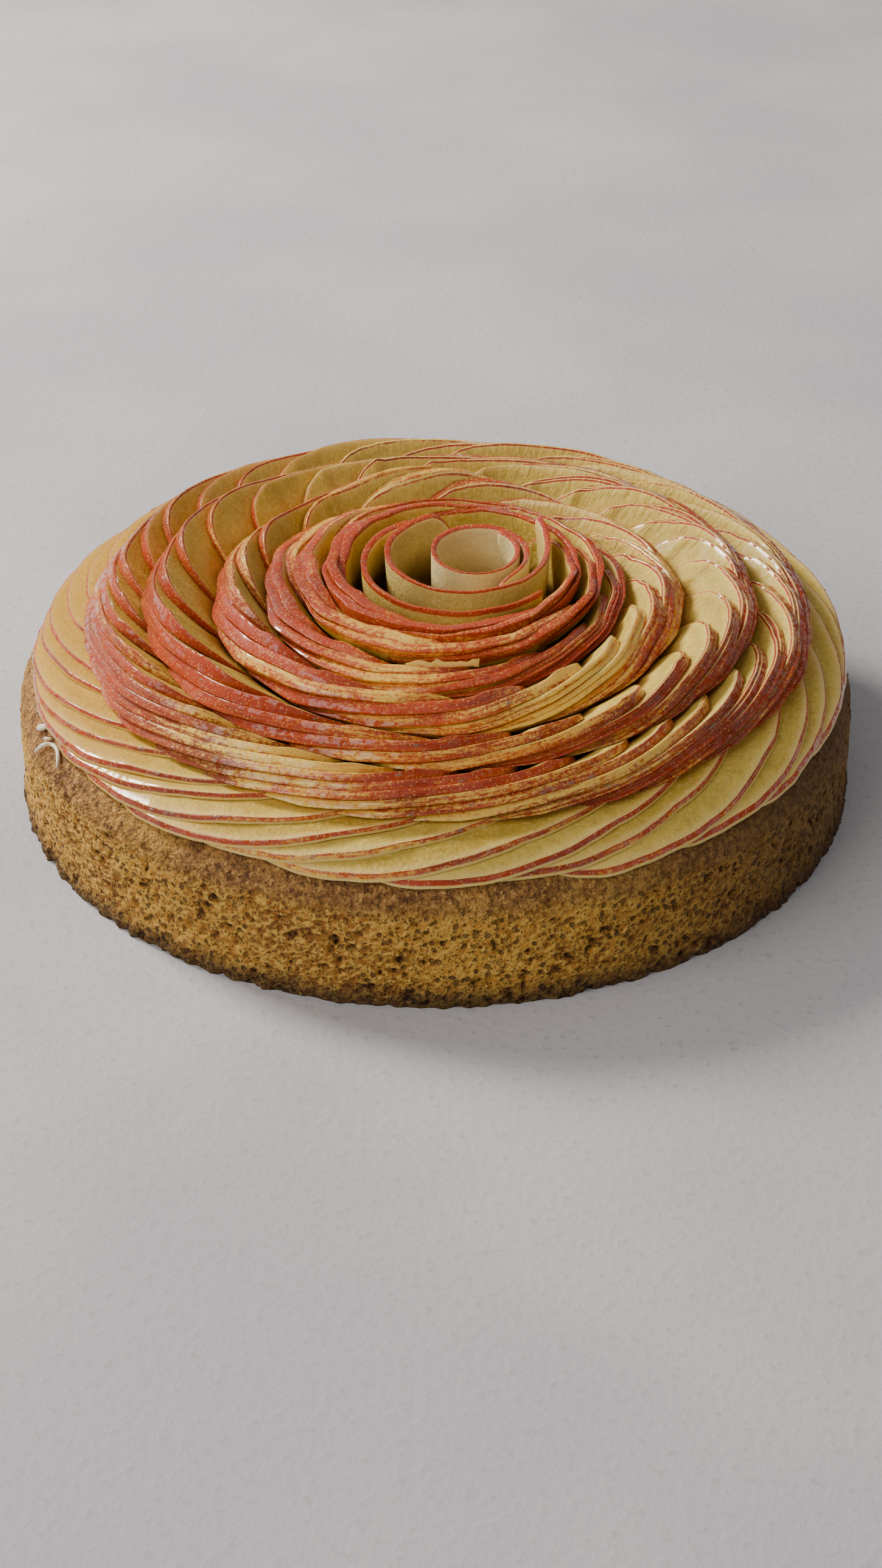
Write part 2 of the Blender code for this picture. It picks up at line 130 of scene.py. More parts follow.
def add_piece(name, points, faces, values, finish, nodes=(), smooth=True):
    """A piece from points in millimetres that rides with the tart and stands for the nodes, if any."""
    mesh = bpy.data.meshes.new(name)
    mesh.from_pydata(np.clip(np.asarray(points) * MM, *cad_box).tolist(), [], faces)
    for label, numbers in values.items():
        layer = mesh.attributes.new(label, "FLOAT", "POINT")
        layer.data.foreach_set("value", np.ascontiguousarray(numbers, np.float32))
    if smooth:
        mesh.shade_smooth()
    mesh.materials.append(finish)
    piece = bpy.data.objects.new(name, mesh)
    bpy.context.scene.collection.objects.link(piece)
    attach(piece, "root")
    if nodes:
        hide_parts(*nodes)


class Value:
    """A number that varies over a surface. Arithmetic on it adds Math nodes."""

    def __init__(self, finish, socket):
        self.finish = finish
        self.socket = socket

    def worked(self, operation, *sides):
        return self.finish.node("ShaderNodeMath", {"operation": operation}, dict(enumerate(sides)))

    def __add__(self, other):
        return self.worked("ADD", self, other)

    __radd__ = __add__

    def __mul__(self, other):
        return self.worked("MULTIPLY", self, other)

    __rmul__ = __mul__

    def __sub__(self, other):
        return self.worked("SUBTRACT", self, other)

    def __rsub__(self, other):
        return self.worked("SUBTRACT", other, self)

    def or_more(self, other):
        return self.worked("MAXIMUM", self, other)


class Finish:
    """A material that is built up from nodes. Sizes are in millimetres."""

    def __init__(self, name):
        self.material = bpy.data.materials.new(name)
        self.material.use_nodes = True
        self.tree = self.material.node_tree
        self.surface = self.tree.nodes["Principled BSDF"]

    def node(self, kind, settings=None, sockets=None, out=0):
        made = self.tree.nodes.new(kind)
        for name, setting in (settings or {}).items():
            setattr(made, name, setting)
        self.feed(made, sockets or {})
        return Value(self, made.outputs[out])

    def feed(self, made, sockets):
        for name, value in sockets.items():
            if isinstance(value, Value):
                self.tree.links.new(value.socket, made.inputs[name])
            else:
                made.inputs[name].default_value = value

    def place(self):
        return self.node("ShaderNodeTexCoord", out="Object")

    def reach(self, axis):
        """How far a point lies along an axis of the tart."""
        return self.node("ShaderNodeSeparateXYZ", {}, {0: self.place()}, axis) * (1 / MM)

    def joined(self, *parts):
        """A place made of three numbers."""
        return self.node("ShaderNodeCombineXYZ", {}, dict(enumerate(parts)))

    def stored(self, label):
        return self.node("ShaderNodeAttribute", {"attribute_name": label}, out="Fac")

    def grain(self, size, detail=2.0, place=None, roughness=0.55):
        """Noise from 0 to 1 with lumps about size across."""
        return self.node("ShaderNodeTexNoise", {}, {
            "Vector": place or self.place(), "Scale": 0.5 / (size * MM), "Detail": detail,
            "Roughness": roughness}, "Fac")

    def cells(self, size, place=None):
        """The distance to the middle of the nearest cell, with cells size wide."""
        sockets = {"Vector": place or self.place(), "Scale": 1.0 / (size * MM)}
        return self.node("ShaderNodeTexVoronoi", {}, sockets, "Distance")

    def rise(self, value, low, high):
        """0 where value is under low and 1 over high, with a smooth step between them."""
        sockets = {"Value": value, "From Min": low, "From Max": high}
        return self.node("ShaderNodeMapRange", {"interpolation_type": "SMOOTHSTEP"}, sockets)

    def fall(self, value, low, high):
        """1 where value is under low and 0 over high, with a smooth step between them."""
        return 1 - self.rise(value, low, high)

    def mixed(self, first, second, factor):
        first = first if isinstance(first, Value) else (*first, 1.0)
        second = second if isinstance(second, Value) else (*second, 1.0)
        return self.node("ShaderNodeMix", {"data_type": "RGBA"}, {0: factor, 6: first, 7: second}, 2)

    def layered(self, colour, *layers):
        """A colour with others laid over it in turn, each as strongly as the mask that comes with it."""
        for laid, mask in layers:
            colour = self.mixed(colour, laid, mask)
        return colour

    def bumped(self, relief, distance):
        """A normal for relief from 0 to 1 that stands distance high."""
        return self.node("ShaderNodeBump", {}, {"Height": relief, "Distance": distance * MM, "Strength": 1.0})


def crumb_finish():
    """Golden crumb with holes, pores and pits darkened by painted shade, a sandy toasted edge, a burnt foot,
    and painted shade over the right side.
    """
    finish = Finish("baked_crumb")
    pit = finish.stored("pit")
    ridge = finish.stored("ridge")
    height = finish.reach("Z")
    patches = finish.grain(24.0, 2.0)
    lumps = finish.grain(3.2, 3.0)
    grains = finish.grain(0.9, 3.0, roughness=0.7)
    sandy = finish.grain(0.75, 2.0, roughness=0.6)
    sugar = finish.cells(0.8)
    pull = finish.node("ShaderNodeTexNoise", {}, {"Vector": finish.place(), "Scale": 420.0}, "Color")
    pull = finish.node("ShaderNodeVectorMath", {"operation": "SCALE"}, {0: pull, "Scale": 0.0012})
    bent = finish.node("ShaderNodeVectorMath", {"operation": "ADD"}, {0: finish.place(), 1: pull})
    upper = finish.rise(height + (lumps + patches) * 7.0, 30.0, 35.5)
    open_part = finish.rise(patches * 0.6 + lumps * 0.8, 0.45, 0.85) * (1 - upper * 0.8)
    holes = finish.fall(finish.cells(2.1, bent), 0.18, 0.40) * open_part
    pores = finish.fall(finish.cells(1.0, bent), 0.12, 0.36) * (1 - upper * 0.55)
    foot = finish.fall(height - lumps * 9.0, -3.4, 3.6)
    # Painted shade: the right side of the base is darkened in colour, away from the light at the left.
    right = finish.rise(finish.reach("X") + patches * 40.0, 45.0, 120.0)
    specks = finish.fall(sugar, 0.10, 0.28) * finish.rise(grains, 0.5, 0.7)
    golden = finish.layered(
        GOLDEN_BROWN,
        (GOLDEN, finish.rise(patches + lumps * 0.6, 0.62, 1.02)),
        (GOLDEN_PALE, finish.rise(ridge + grains * 0.8, 0.66, 1.10) * 0.85))
    toasted = finish.mixed(TOASTED_DARK, TOASTED, finish.rise(grains + lumps * 0.5, 0.55, 0.95))
    colour = finish.layered(
        golden,
        (toasted, upper * (1.15 - finish.rise(patches, 0.42, 0.62) * 0.5)),
        (SANDY_PALE, finish.rise(sandy, 0.56, 0.66) * 0.55 * upper),
        (SANDY_DARK, finish.fall(sandy, 0.34, 0.44) * 0.65 * upper),
        # Painted shade: the holes, the pores and the sunken pits are darkened in colour where shade falls in
        # them.
        (HOLE_SHADE, holes * 0.85),
        (PORE_SHADE, pores * 0.6),
        (BURNT, foot * 0.8),
        (PIT_SHADE, finish.rise(pit, 0.15, 0.8) * 0.85),
        (RIGHT_SIDE_SHADE, right * 0.72),
        (SUGAR, specks * 0.5))
    relief = grains * 0.55 + lumps * 0.4 - sugar * 0.35 - holes * 1.3 - pores * 0.6 + sandy * upper * 0.5
    finish.feed(finish.surface, {
        "Base Color": colour, "Roughness": 0.78 - specks * 0.40, "Normal": finish.bumped(relief, 1.1),
        "Specular IOR Level": 0.35, "Subsurface Weight": 0.06, "Subsurface Scale": 0.002})
    return finish.material


def base_profile():
    """Radius, height and outward direction of each row, from the foot up over the rounded edge."""
    rows = []
    for row in range(SIDE_ROWS):
        height = (BASE_HEIGHT - EDGE_ROUND) * row / SIDE_ROWS
        flare = FLARE * math.exp(-height / FLARE_OVER) + LIP * math.exp(-((height - LIP_AT) / LIP_OVER) ** 2)
        rows.append((FOOT_RADIUS + FOOT_SPREAD * flare, height, 1.0, 0.0))
    for row in range(EDGE_ROWS):
        turn = math.radians(90.0 * row / EDGE_ROWS)
        rows.append((SIDE_RADIUS - EDGE_ROUND * (1 - math.cos(turn)),
                     BASE_HEIGHT - EDGE_ROUND * (1 - math.sin(turn)), math.cos(turn), math.sin(turn)))
    for row in range(TOP_ROWS + 1):
        rows.append((EDGE_START - (EDGE_START - TOP_INSIDE) * (row / TOP_ROWS), BASE_HEIGHT, 0.0, 1.0))
    return rows


def held(value):
    """The value kept from 0 to 1."""
    return min(1.0, max(0.0, value))


def crumb_relief(x, y, z):
    """How far the crumb stands out at a point, how deep a cell lies there, and how much of a ridge it is."""
    spot = Vector((x, y, z))
    fine = held((z - FINE_FROM) / FINE_OVER)
    swell = sum(share * noise.noise(spot / size) for share, size in SWELLS)
    bend = Vector([noise.noise(spot / BEND_SIZE + shift) for shift in BEND_SHIFTS]) * BEND
    to_hole = noise.voronoi((spot + bend) / HOLE_SIZE)[0][0]
    to_pore = noise.voronoi((spot + bend) / PORE_SIZE)[0][0]
    patch = noise.noise(spot / PATCH_SIZE + PATCH_SHIFT)
    open_crumb = held(OPEN_SHARE + OPEN_VARIES * patch) * (1.0 - FEWER_HOLES * fine)
    hole = max(0.0, 1.0 - to_hole / HOLE_REACH) * open_crumb
    pore = max(0.0, 1.0 - to_pore / PORE_REACH) * (1.0 - FEWER_PORES * fine)
    sandy = noise.noise(spot / SAND_SIZE)
    out = swell * (1.0 - LESS_SWELL * fine) - HOLE_DEPTH * hole - PORE_DEPTH * pore
    out += (SIDE_SAND + EDGE_SAND * fine) * sandy
    pit = min(1.0, HOLE_PIT * hole + PORE_PIT * pore)
    return out, pit, held(0.5 + 0.5 * sandy - hole - PORE_PIT * pore)


rows = base_profile()
base_points, pits, ridges = [], [], []
for radius, height, outward, upward in rows:
    ragged = RAGGED * math.exp(-height / RAGGED_OVER)
    for angle in np.arange(BASE_COLUMNS) * math.tau / BASE_COLUMNS:
        x = radius * math.cos(angle)
        y = radius * math.sin(angle)
        out, pit, ridge = crumb_relief(x, y, height)
        if upward == 1.0:
            out *= TOP_KEPT
        foot = ragged * noise.noise(Vector((x / RAGGED_SIZE, y / RAGGED_SIZE, RAGGED_LAYER)))
        moved = radius + outward * ((RIDGE_KEPT * out if out > 0 else out) + foot)
        moved = min(LARGEST_RADIUS, moved)
        level = max(0.0, height + upward * min(out, TOP_KEPT)) if height > 0 else 0.0
        base_points.append((moved * math.cos(angle), moved * math.sin(angle), level))
        pits.append(pit)
        ridges.append(ridge)
faces, index, following = wall(len(rows), BASE_COLUMNS)
under, over = len(base_points), len(base_points) + 1
for low, low_next, high, high_next in zip(index[0], following[0], index[-1], following[-1]):
    faces.append((low_next, low, under))
    faces.append((high, high_next, over))
ends = [(0.0, 0.0, 0.0), (0.0, 0.0, BASE_HEIGHT)]
crumb = crumb_finish()
add_piece("crumb_base", base_points + ends, faces, {"pit": pits + [0.0, 0.0], "ridge": ridges + [0.0, 0.0]},
          crumb, ["tart_base"])

# Loose crumbs and sugar grains cling to the side and the rounded edge and gather at the foot. They came off
# the same bake, so they have its finish.
CRUMBS = 2600
CRUMB_SIZES = (0.22, 0.62)
LARGE_SHARE, LARGE_BY = 0.1, 1.5
CRUMB_UNEVEN = (0.65, 1.2)
CRUMB_SUNK = 0.3
CRUMB_LOWEST = 0.05
CRUMB_SEED = 4
FOOT_ROWS = (1, 16)
CRUMB_RIDGES = (0.2, 1.0)
GOLDEN_CUT = (1 + math.sqrt(5)) / 2
corners = np.array([(-1, GOLDEN_CUT, 0), (1, GOLDEN_CUT, 0), (-1, -GOLDEN_CUT, 0), (1, -GOLDEN_CUT, 0),
                    (0, -1, GOLDEN_CUT), (0, 1, GOLDEN_CUT), (0, -1, -GOLDEN_CUT), (0, 1, -GOLDEN_CUT),
                    (GOLDEN_CUT, 0, -1), (GOLDEN_CUT, 0, 1), (-GOLDEN_CUT, 0, -1), (-GOLDEN_CUT, 0, 1)])
corners = corners / np.linalg.norm(corners[0])
sides = np.array([(0, 11, 5), (0, 5, 1), (0, 1, 7), (0, 7, 10), (0, 10, 11), (1, 5, 9), (5, 11, 4),
                  (11, 10, 2), (10, 7, 6), (7, 1, 8), (3, 9, 4), (3, 4, 2), (3, 2, 6), (3, 6, 8), (3, 8, 9),
                  (4, 9, 5), (2, 4, 11), (6, 2, 10), (8, 6, 7), (9, 8, 1)])
draw = np.random.default_rng(CRUMB_SEED)
low_rows = draw.integers(*FOOT_ROWS, CRUMBS // 3)
any_rows = draw.integers(2, SIDE_ROWS + EDGE_ROWS, CRUMBS - len(low_rows))
picked = np.concatenate([low_rows, any_rows]) * BASE_COLUMNS + draw.integers(0, BASE_COLUMNS, CRUMBS)
sizes = draw.uniform(*CRUMB_SIZES, CRUMBS) * np.where(draw.random(CRUMBS) < LARGE_SHARE, LARGE_BY, 1.0)
shapes = corners[None] * draw.uniform(*CRUMB_UNEVEN, (CRUMBS, len(corners), 1)) * sizes[:, None, None]
middles = np.array(base_points)[picked]
pull_in = 1 - CRUMB_SUNK / np.hypot(middles[:, 0], middles[:, 1])
middles = middles * np.stack([pull_in, pull_in, np.ones(CRUMBS)], 1)
crumb_points = (shapes + middles[:, None]).reshape(-1, 3)
reach = np.hypot(crumb_points[:, 0], crumb_points[:, 1])
crumb_points[:, :2] *= np.minimum(1.0, LARGEST_RADIUS / reach)[:, None]
crumb_points[:, 2] = np.maximum(crumb_points[:, 2], CRUMB_LOWEST)
crumb_faces = (sides[None] + len(corners) * np.arange(CRUMBS)[:, None, None]).reshape(-1, 3).tolist()
crumb_values = {"pit": np.zeros(len(crumb_points)),
                "ridge": np.repeat(draw.uniform(*CRUMB_RIDGES, CRUMBS), len(corners))}
add_piece("loose_crumbs", crumb_points, crumb_faces, crumb_values, crumb, smooth=False)

# The leaning rings and the ring round the bud are half-moons of apple, sliced raw about 2 mm thick with the
# skin left on and baked until they bent. They stand on their flat sides, packed from the outside of a ring
# to its inside. At the right they lie open, and there a slice parts in two or three thin leaves.
FLOOR_Z = BASE_HEIGHT + 0.4
SKIN_SLANT = 0.6
RIM_TURNS = ((0.0, 0.07), (0.05, 0.0), (0.72, 0.0), (0.88, 0.0), (0.99, 0.05))
FACE_DEPTHS = (0.42, 1.1, 2.6, 6.0)
SKIN_UNTIL = 0.8
MIDDLE_CORNER = 1 + len(FACE_DEPTHS) + len(RIM_TURNS) // 2
NO_PEEL = -5.0
GAUGE_HEIGHT = 45.0
SHIFT_RADII = (17.0, 24.0, 33.0, 43.0, 56.0, 75.0, 95.0)
SHIFT_X = (8.0, 6.2, 3.4, 2.0, 2.8, 3.4, 2.6)
SHIFT_Y = (3.4, 2.2, -1.6, -3.8, -4.0, -1.2, 0.0)
BACK_RISE = (0.0, 1.0, 0.6, 1.2, 0.5, 1.6, 1.6)
SIDE_RISE = (0.0, 0.0, 0.8, 2.6, 3.6, 0.8, 0.3)
RISE_FULL_AT = 12.0
WOBBLES = ((0.006, 3, 0.8), (0.004, 5, 2.1))
PETAL = dict(height=6.5, angle=96.0, over=27.0, gauge=53.0, gauge_over=6.5)
OPEN_AT = 20.0
LEAST_SINK = 0.22
# rim is the radius and height of a ring's outer edge, width the degrees that a slice spans, and fair how
# much paler the ring is, at what angle and over how many degrees.
RINGS = {
    "b": dict(slices=33, fan=3, leaves=3, rim=(95.6, 43.0), lean=55.0, width=58.0, stack=11.9, gap=0.8,
              tip=15.0, tail=1.8, crest=-0.15, crowd=0.08, crowd_at=185.0, seed=21, blush=0.46,
              fair=(0.48, 235.0, 20.0), peel=2.4, pale_lines=0.5),
    "c": dict(slices=24, fan=3, leaves=3, rim=(80.1, 47.6), lean=55.0, width=52.0, stack=8.8, gap=0.6,
              tip=14.0, tail=1.8, crest=-0.15, crowd=0.20, crowd_at=40.0, seed=32, blush=0.58,
              fair=(-0.25, 222.0, 22.0), peel=2.4, pale_lines=0.4),
    "d": dict(slices=18, fan=3, leaves=2, rim=(61.6, 47.6), lean=45.0, width=70.0, stack=9.9, gap=0.6,
              tip=10.0, tail=2.0, crest=-0.10, crowd=0.10, crowd_at=0.0, seed=43, blush=0.60,
              fair=(0.35, 300.0, 22.0), peel=2.8, pale_lines=0.2),
    "e": dict(slices=12, fan=3, leaves=2, rim=(47.6, 50.2), lean=38.0, width=92.0, stack=6.6, gap=0.8,
              tip=8.0, tail=3.0, crest=-0.10, crowd=0.10, crowd_at=330.0, seed=54, blush=0.64,
              fair=(0.25, 250.0, 20.0), peel=2.8, pale_lines=0.3),
    "f": dict(slices=6, fan=2, leaves=1, rim=(40.3, 55.6), lean=28.0, width=118.0, stack=4.1, gap=1.2,
              tip=6.0, tail=3.0, crest=-0.10, crowd=0.0, crowd_at=0.0, seed=65, blush=0.72,
              fair=(0.0, 0.0, 20.0), peel=2.6, pale_lines=0.3),
    "g": dict(slices=5, fan=1, leaves=1, rim=(33.4, 57.4), lean=9.0, width=138.0, stack=3.7, gap=1.0,
              tip=4.5, tail=2.5, crest=0.0, crowd=0.0, crowd_at=0.0, seed=76, blush=0.85,
              fair=(0.0, 0.0, 20.0), peel=3.8, pale_lines=0.2),
}
STATIONS = 64
THINNEST, END_STEPS = 0.22, 601
LAP = 0.42
EDGE_CLEAR = 0.05
SHORTEST_FOOT = 1.2
RIM_WAVES = ((0.20, 6), (0.04, 20))
OUTER_CUT, OUTER_CUT_POWER = 0.35, 14
INNER_CUT, INNER_CUT_POWER = 0.6, 7
CUT_SHORT = (0.0, 0.1)
TIP_VARIES = (0.85, 1.1)
TAIL_VARIES = (0.8, 1.2)
RAISED = (-0.4, 0.4)
SLICE_KEPT, SLICE_WAVE = 0.975, 0.015
SWOLLEN, SWOLLEN_FROM, SWOLLEN_THICK = 0.45, 0.96, (0.3, 1.0)
TORN, TORN_BENDS, TORN_BETWEEN = 1.1, 30, (0.2, 0.8)
LEAST_PEEL, MORE_PEEL, PEEL_WAVE = 0.35, 1.3, 0.3
BLUSH_SPREAD = (-0.3, 0.3)
PARTED_FROM, PARTED_THIN = 0.62, 0.97
LEAF_LOWER, LEAF_WAVE, LEAF_TONE = 0.6, 0.5, 0.3
SWAYS = ((0.30, 9, 1), (0.20, 17, 2))
SWAY_DEPTH = 8.0
FLESH_DEEP = (0.60, 0.375, 0.042)
FLESH = (0.84, 0.59, 0.115)
FLESH_OLIVE = (0.42, 0.29, 0.025)
FLESH_OVERLAP_SHADE = (0.42, 0.25, 0.028)
FLESH_VEIN = (0.44, 0.25, 0.022)
FLESH_LIGHT = (0.86, 0.66, 0.22)
FLESH_SHADE = (0.30, 0.16, 0.018)
FLESH_EDGE_GLOW = (0.92, 0.64, 0.20)
FLESH_PALE = (0.86, 0.70, 0.38)
FLESH_HONEY = (0.67, 0.315, 0.020)
SKIN_YELLOW = (0.94, 0.60, 0.10)
SKIN_ORANGE = (0.84, 0.32, 0.038)
SKIN_RED = (0.43, 0.018, 0.008)
SKIN_CRIMSON = (0.24, 0.003, 0.009)
SKIN_DOTS = (0.90, 0.56, 0.16)


def ramp(values, low, high):
    """0 below low and 1 above high, with a smooth rise between them."""
    part = np.clip((np.asarray(values, float) - low) / (high - low), 0.0, 1.0)
    return part * part * (3 - 2 * part)


def apple_finish():
    """Cream flesh with a fine grain under a line or band of red skin with yellow flecks, with beads of glaze
    near the skin. Painted shade darkens the flesh deep between the slices, and a painted glow lightens it
    just under the skin."""
    finish = Finish("glazed_apple")
    deep = finish.stored("deep")
    skin = finish.rise(finish.stored("skin"), 0.35, 0.65)
    skin = skin.or_more(finish.rise(finish.stored("peel") - deep, -0.15, 0.25))
    blush = finish.stored("blush")
    run = finish.stored("run")
    tone = finish.stored("tone")
    own = tone * 0.35
    around = finish.stored("across") + deep
    dashes = finish.grain(1.3, 5.0, finish.joined(run * 0.0020, own, around * 0.0032), 0.78)
    streaks = finish.grain(3.4, 3.0, finish.joined(run * 0.0008, own, around * 0.009), 0.5)
    folds = finish.grain(0.9, 3.0, finish.joined(run * 0.001, own, deep * 0.00025))
    clouds = finish.grain(22.0, 2.0)
    mottle = finish.grain(4.0, 3.0)
    ripples = finish.grain(1.8, 2.0)
    beads = finish.grain(0.9, 3.0)
    fine = finish.grain(0.5, 3.0, roughness=0.75)
    sideways = finish.reach("X") + (clouds - 0.5) * 40.0
    left = finish.fall(sideways, -100.0, -25.0)
    right = finish.rise(sideways, 30.0, 95.0)
    flesh = finish.layered(
        FLESH_DEEP,
        (FLESH, finish.rise(mottle + clouds + tone * 0.6, 0.80, 1.60)),
        (FLESH_OLIVE, finish.rise(deep, 0.6, 3.0) * finish.fall(deep, 3.0, 9.0) * 0.45),
        # Painted shade: the flesh darkens far below the skin line, down between the overlapping slices.
        (FLESH_OVERLAP_SHADE, finish.rise(deep, 6.0, 20.0) * 0.6),
        (FLESH_VEIN, finish.rise(ripples + fine * 0.4, 0.70, 0.88) * 0.32),
        (FLESH_LIGHT, finish.rise(fine, 0.52, 0.66) * 0.50),
        (FLESH_SHADE, finish.fall(fine, 0.32, 0.46) * 0.38),
        # Painted light: a pale glow just under the skin line lightens the shaded grooves between the slices.
        (FLESH_EDGE_GLOW, finish.fall(deep, 0.3, 1.4) * 0.75),
        (FLESH_PALE, finish.stored("pale") * (0.7 + fine * 0.5)),
        (FLESH_HONEY, left * 0.62))
    warm = finish.rise(streaks + blush * 0.5 + right * 0.2, 0.50, 0.92)
    red = finish.mixed(SKIN_RED, SKIN_CRIMSON, finish.rise(clouds + streaks * 0.6, 0.80, 1.02))
    edges = finish.fall(finish.stored("inset"), 0.10, 0.62)
    redness = blush + (streaks - 0.5) * 0.8 + (clouds - 0.5) * 1.2 + edges * 0.2 + left * 0.42 + right * 0.3
    peel = finish.layered(
        SKIN_YELLOW,
        (SKIN_ORANGE, warm),
        (red, finish.rise(dashes * 1.1 + redness * 0.62, 0.68, 0.94) * 0.88),
        (SKIN_DOTS, finish.fall(finish.cells(0.9), 0.10, 0.34) * 0.55))
    near_rim = skin.or_more(finish.fall(deep, 0.2, 1.4))
    wet = finish.rise(beads + mottle * 0.5, 0.66, 0.80) * (near_rim * 0.95 + 0.05)
    folds = folds * finish.fall(deep, 1.5, 7.0) * finish.stored("folded")
    relief = fine * 0.45 + ripples * 0.50 + mottle * 0.7 + folds * 1.3
    finish.feed(finish.surface, {
        "Base Color": finish.mixed(flesh, peel, skin), "Roughness": 0.56 - wet * 0.12, "Coat Weight": wet,
        "Coat Roughness": 0.04, "Normal": finish.bumped(relief, 0.55), "Specular IOR Level": 0.2,
        "Subsurface Weight": 0.30, "Subsurface Scale": 0.0018, "Subsurface Radius": (1.0, 0.70, 0.25)})
    return finish.material


def skinned(sections):
    """Points and faces of a closed surface over an array of sections by corners by xyz."""
    quads, index, _ = wall(*sections.shape[:2])
    return sections.reshape(-1, 3), quads + [index[0][::-1], index[-1]]


def slice_surface(corners, thickness, middle, **others):
    """Points, faces and stored numbers of one slice. Each corner of its section gives its points along the
    slice, how far through the slice and how far below the skin they lie, whether they are skin, and how deep
    the peel is there. The other numbers hold for the slice or for places along it."""
    sections = np.stack([corner[0] for corner in corners], axis=1)
    even = np.ones(sections.shape[:2])
    steps = np.linalg.norm(np.diff(sections[:, middle], axis=0), axis=1)
    others["run"] = np.concatenate([[0.0], np.cumsum(steps)])
    values = {label: even * np.reshape(number, (-1, 1)) for label, number in others.items()}
    for label in ("skin", "deep", "across", "inset", "peel"):
        values[label] = np.empty_like(even)
    for column, (_, part, below, is_skin, peel) in enumerate(corners):
        values["skin"][:, column] = is_skin
        values["deep"][:, column] = below
        values["across"][:, column] = part * thickness
        values["inset"][:, column] = 4 * part * (1 - part) if is_skin else 1.0
        values["peel"][:, column] = peel
    rims.append(sections[:, [corner[3] for corner in corners]])
    points, faces = skinned(sections)
    return points, faces, {label: numbers.reshape(-1) for label, numbers in values.items()}


def add_fan(name, slices, nodes):
    """One piece made of several slices that lie on each other."""
    points, faces, gathered, start = [], [], {}, 0
    for slice_points, slice_faces, values in slices:
        points.append(slice_points)
        faces.extend([[start + corner for corner in face] for face in slice_faces])
        for label, numbers in values.items():
            gathered.setdefault(label, []).append(numbers)
        start += len(slice_points)
    values = {label: np.concatenate(parts) for label, parts in gathered.items()}
    add_piece(name, np.vstack(points), faces, values, apple, nodes)


def ripple(count, knots, draw):
    """A smooth random line from -1 to 1 with about knots bends in it."""
    heights = draw.uniform(-1.0, 1.0, knots + 3)
    place = np.linspace(0.0, knots, count)
    low = np.floor(place).astype(int)
    part = ramp(place - low, 0.0, 1.0)
    return heights[low] * (1 - part) + heights[low + 1] * part


def waved(line, waves, draw):
    """A line with smooth random waves laid on it, each given by its height and its number of bends."""
    for height, knots in waves:
        line = line + height * ripple(len(line), knots, draw)
    return line


def shifted(radius, height, angle, gauge):
    """Points of the even rose moved to their places in the uneven one."""
    wobble = 1.0
    for size, times, turn in WOBBLES:
        wobble = wobble + size * np.sin(times * angle + turn)
    back = np.interp(gauge, SHIFT_RADII, BACK_RISE) * (1 + np.sin(angle))
    side = np.interp(gauge, SHIFT_RADII, SIDE_RISE) * np.cos(angle) ** 2
    turn = (np.degrees(angle) - PETAL["angle"] + 180.0) % 360.0 - 180.0
    in_petal = ((turn / PETAL["over"]) ** 2) + ((gauge - PETAL["gauge"]) / PETAL["gauge_over"]) ** 2
    part = (height - FLOOR_Z) / RISE_FULL_AT
    return np.stack([radius * wobble * np.cos(angle) + np.interp(gauge, SHIFT_RADII, SHIFT_X),
                     radius * wobble * np.sin(angle) + np.interp(gauge, SHIFT_RADII, SHIFT_Y),
                     height + part * (back + side + PETAL["height"] * np.exp(-in_petal))], axis=-1)


def spread_angle(ring, place):
    """The angle at a place, counted in slices, of a ring whose slices crowd together at one side."""
    turn = math.tau * place / ring["slices"]
    return turn - ring["crowd"] * np.sin(turn - math.radians(ring["crowd_at"]))


def layers_at(ring, place):
    """How many slices lie over each other at a place."""
    return ring["width"] / np.degrees(spread_angle(ring, place + 0.5) - spread_angle(ring, place - 0.5))


def slice_levels(ring, index, place):
    """How deep in its stack a slice's outer and inner faces are at a place."""
    overlap = layers_at(ring, place)
    outer = np.clip((place - index) / overlap + 0.5, 0.0, 1.0)
    inner = np.clip((place - index + 1) / overlap + 0.5, 0.0, 1.0)
    return (ring["stack"] + LAP) * outer, (ring["stack"] + LAP) * inner


def slice_ends(ring, index):
    """The first and the last place at which a slice is thick enough to show."""
    place = index + np.linspace(-1.0, 1.0, END_STEPS) * (float(layers_at(ring, index)) / 2 + 1.5)
    outer, inner = slice_levels(ring, index, place)
    thick = place[inner - outer > THINNEST]
    return thick[0], thick[-1]


def lean_of(ring):
    """The directions along a leaning slice and across it, as radius and height."""
    lean = math.radians(ring["lean"])
    return np.array([math.sin(lean), math.cos(lean)]), np.array([-math.cos(lean), math.sin(lean)])


def foot_depth(ring, outside, layer):
    """How far below its rim a slice's foot is: on the base, or on the ring outside it."""
    along, across = lean_of(ring)
    radius = ring["rim"][0] + across[0] * layer
    height = ring["rim"][1] + across[1] * layer
    depth = (height - FLOOR_Z) / along[1]
    if outside is None:
        return depth
    _, normal = lean_of(outside)
    closing = float(along @ normal)
    if closing <= 1e-6:
        return depth
    face = np.array(outside["rim"]) + normal * (outside["stack"] + LAP)
    to_face = (radius - face[0]) * normal[0] + (height - face[1]) * normal[1]
    return np.minimum(depth, (to_face - ring["gap"]) / closing)


def skin_drop(ring, part_way, tip, tail):
    """How far the skin line is below the full rim, where part_way runs from -1 to 1 along the slice."""
    crest = ring["crest"]
    inner = np.clip((part_way - crest) / (1 - crest), 0.0, None)
    outer = np.clip((crest - part_way) / (1 + crest), 0.0, None)
    return tip * inner ** 2 + tail * outer ** 2


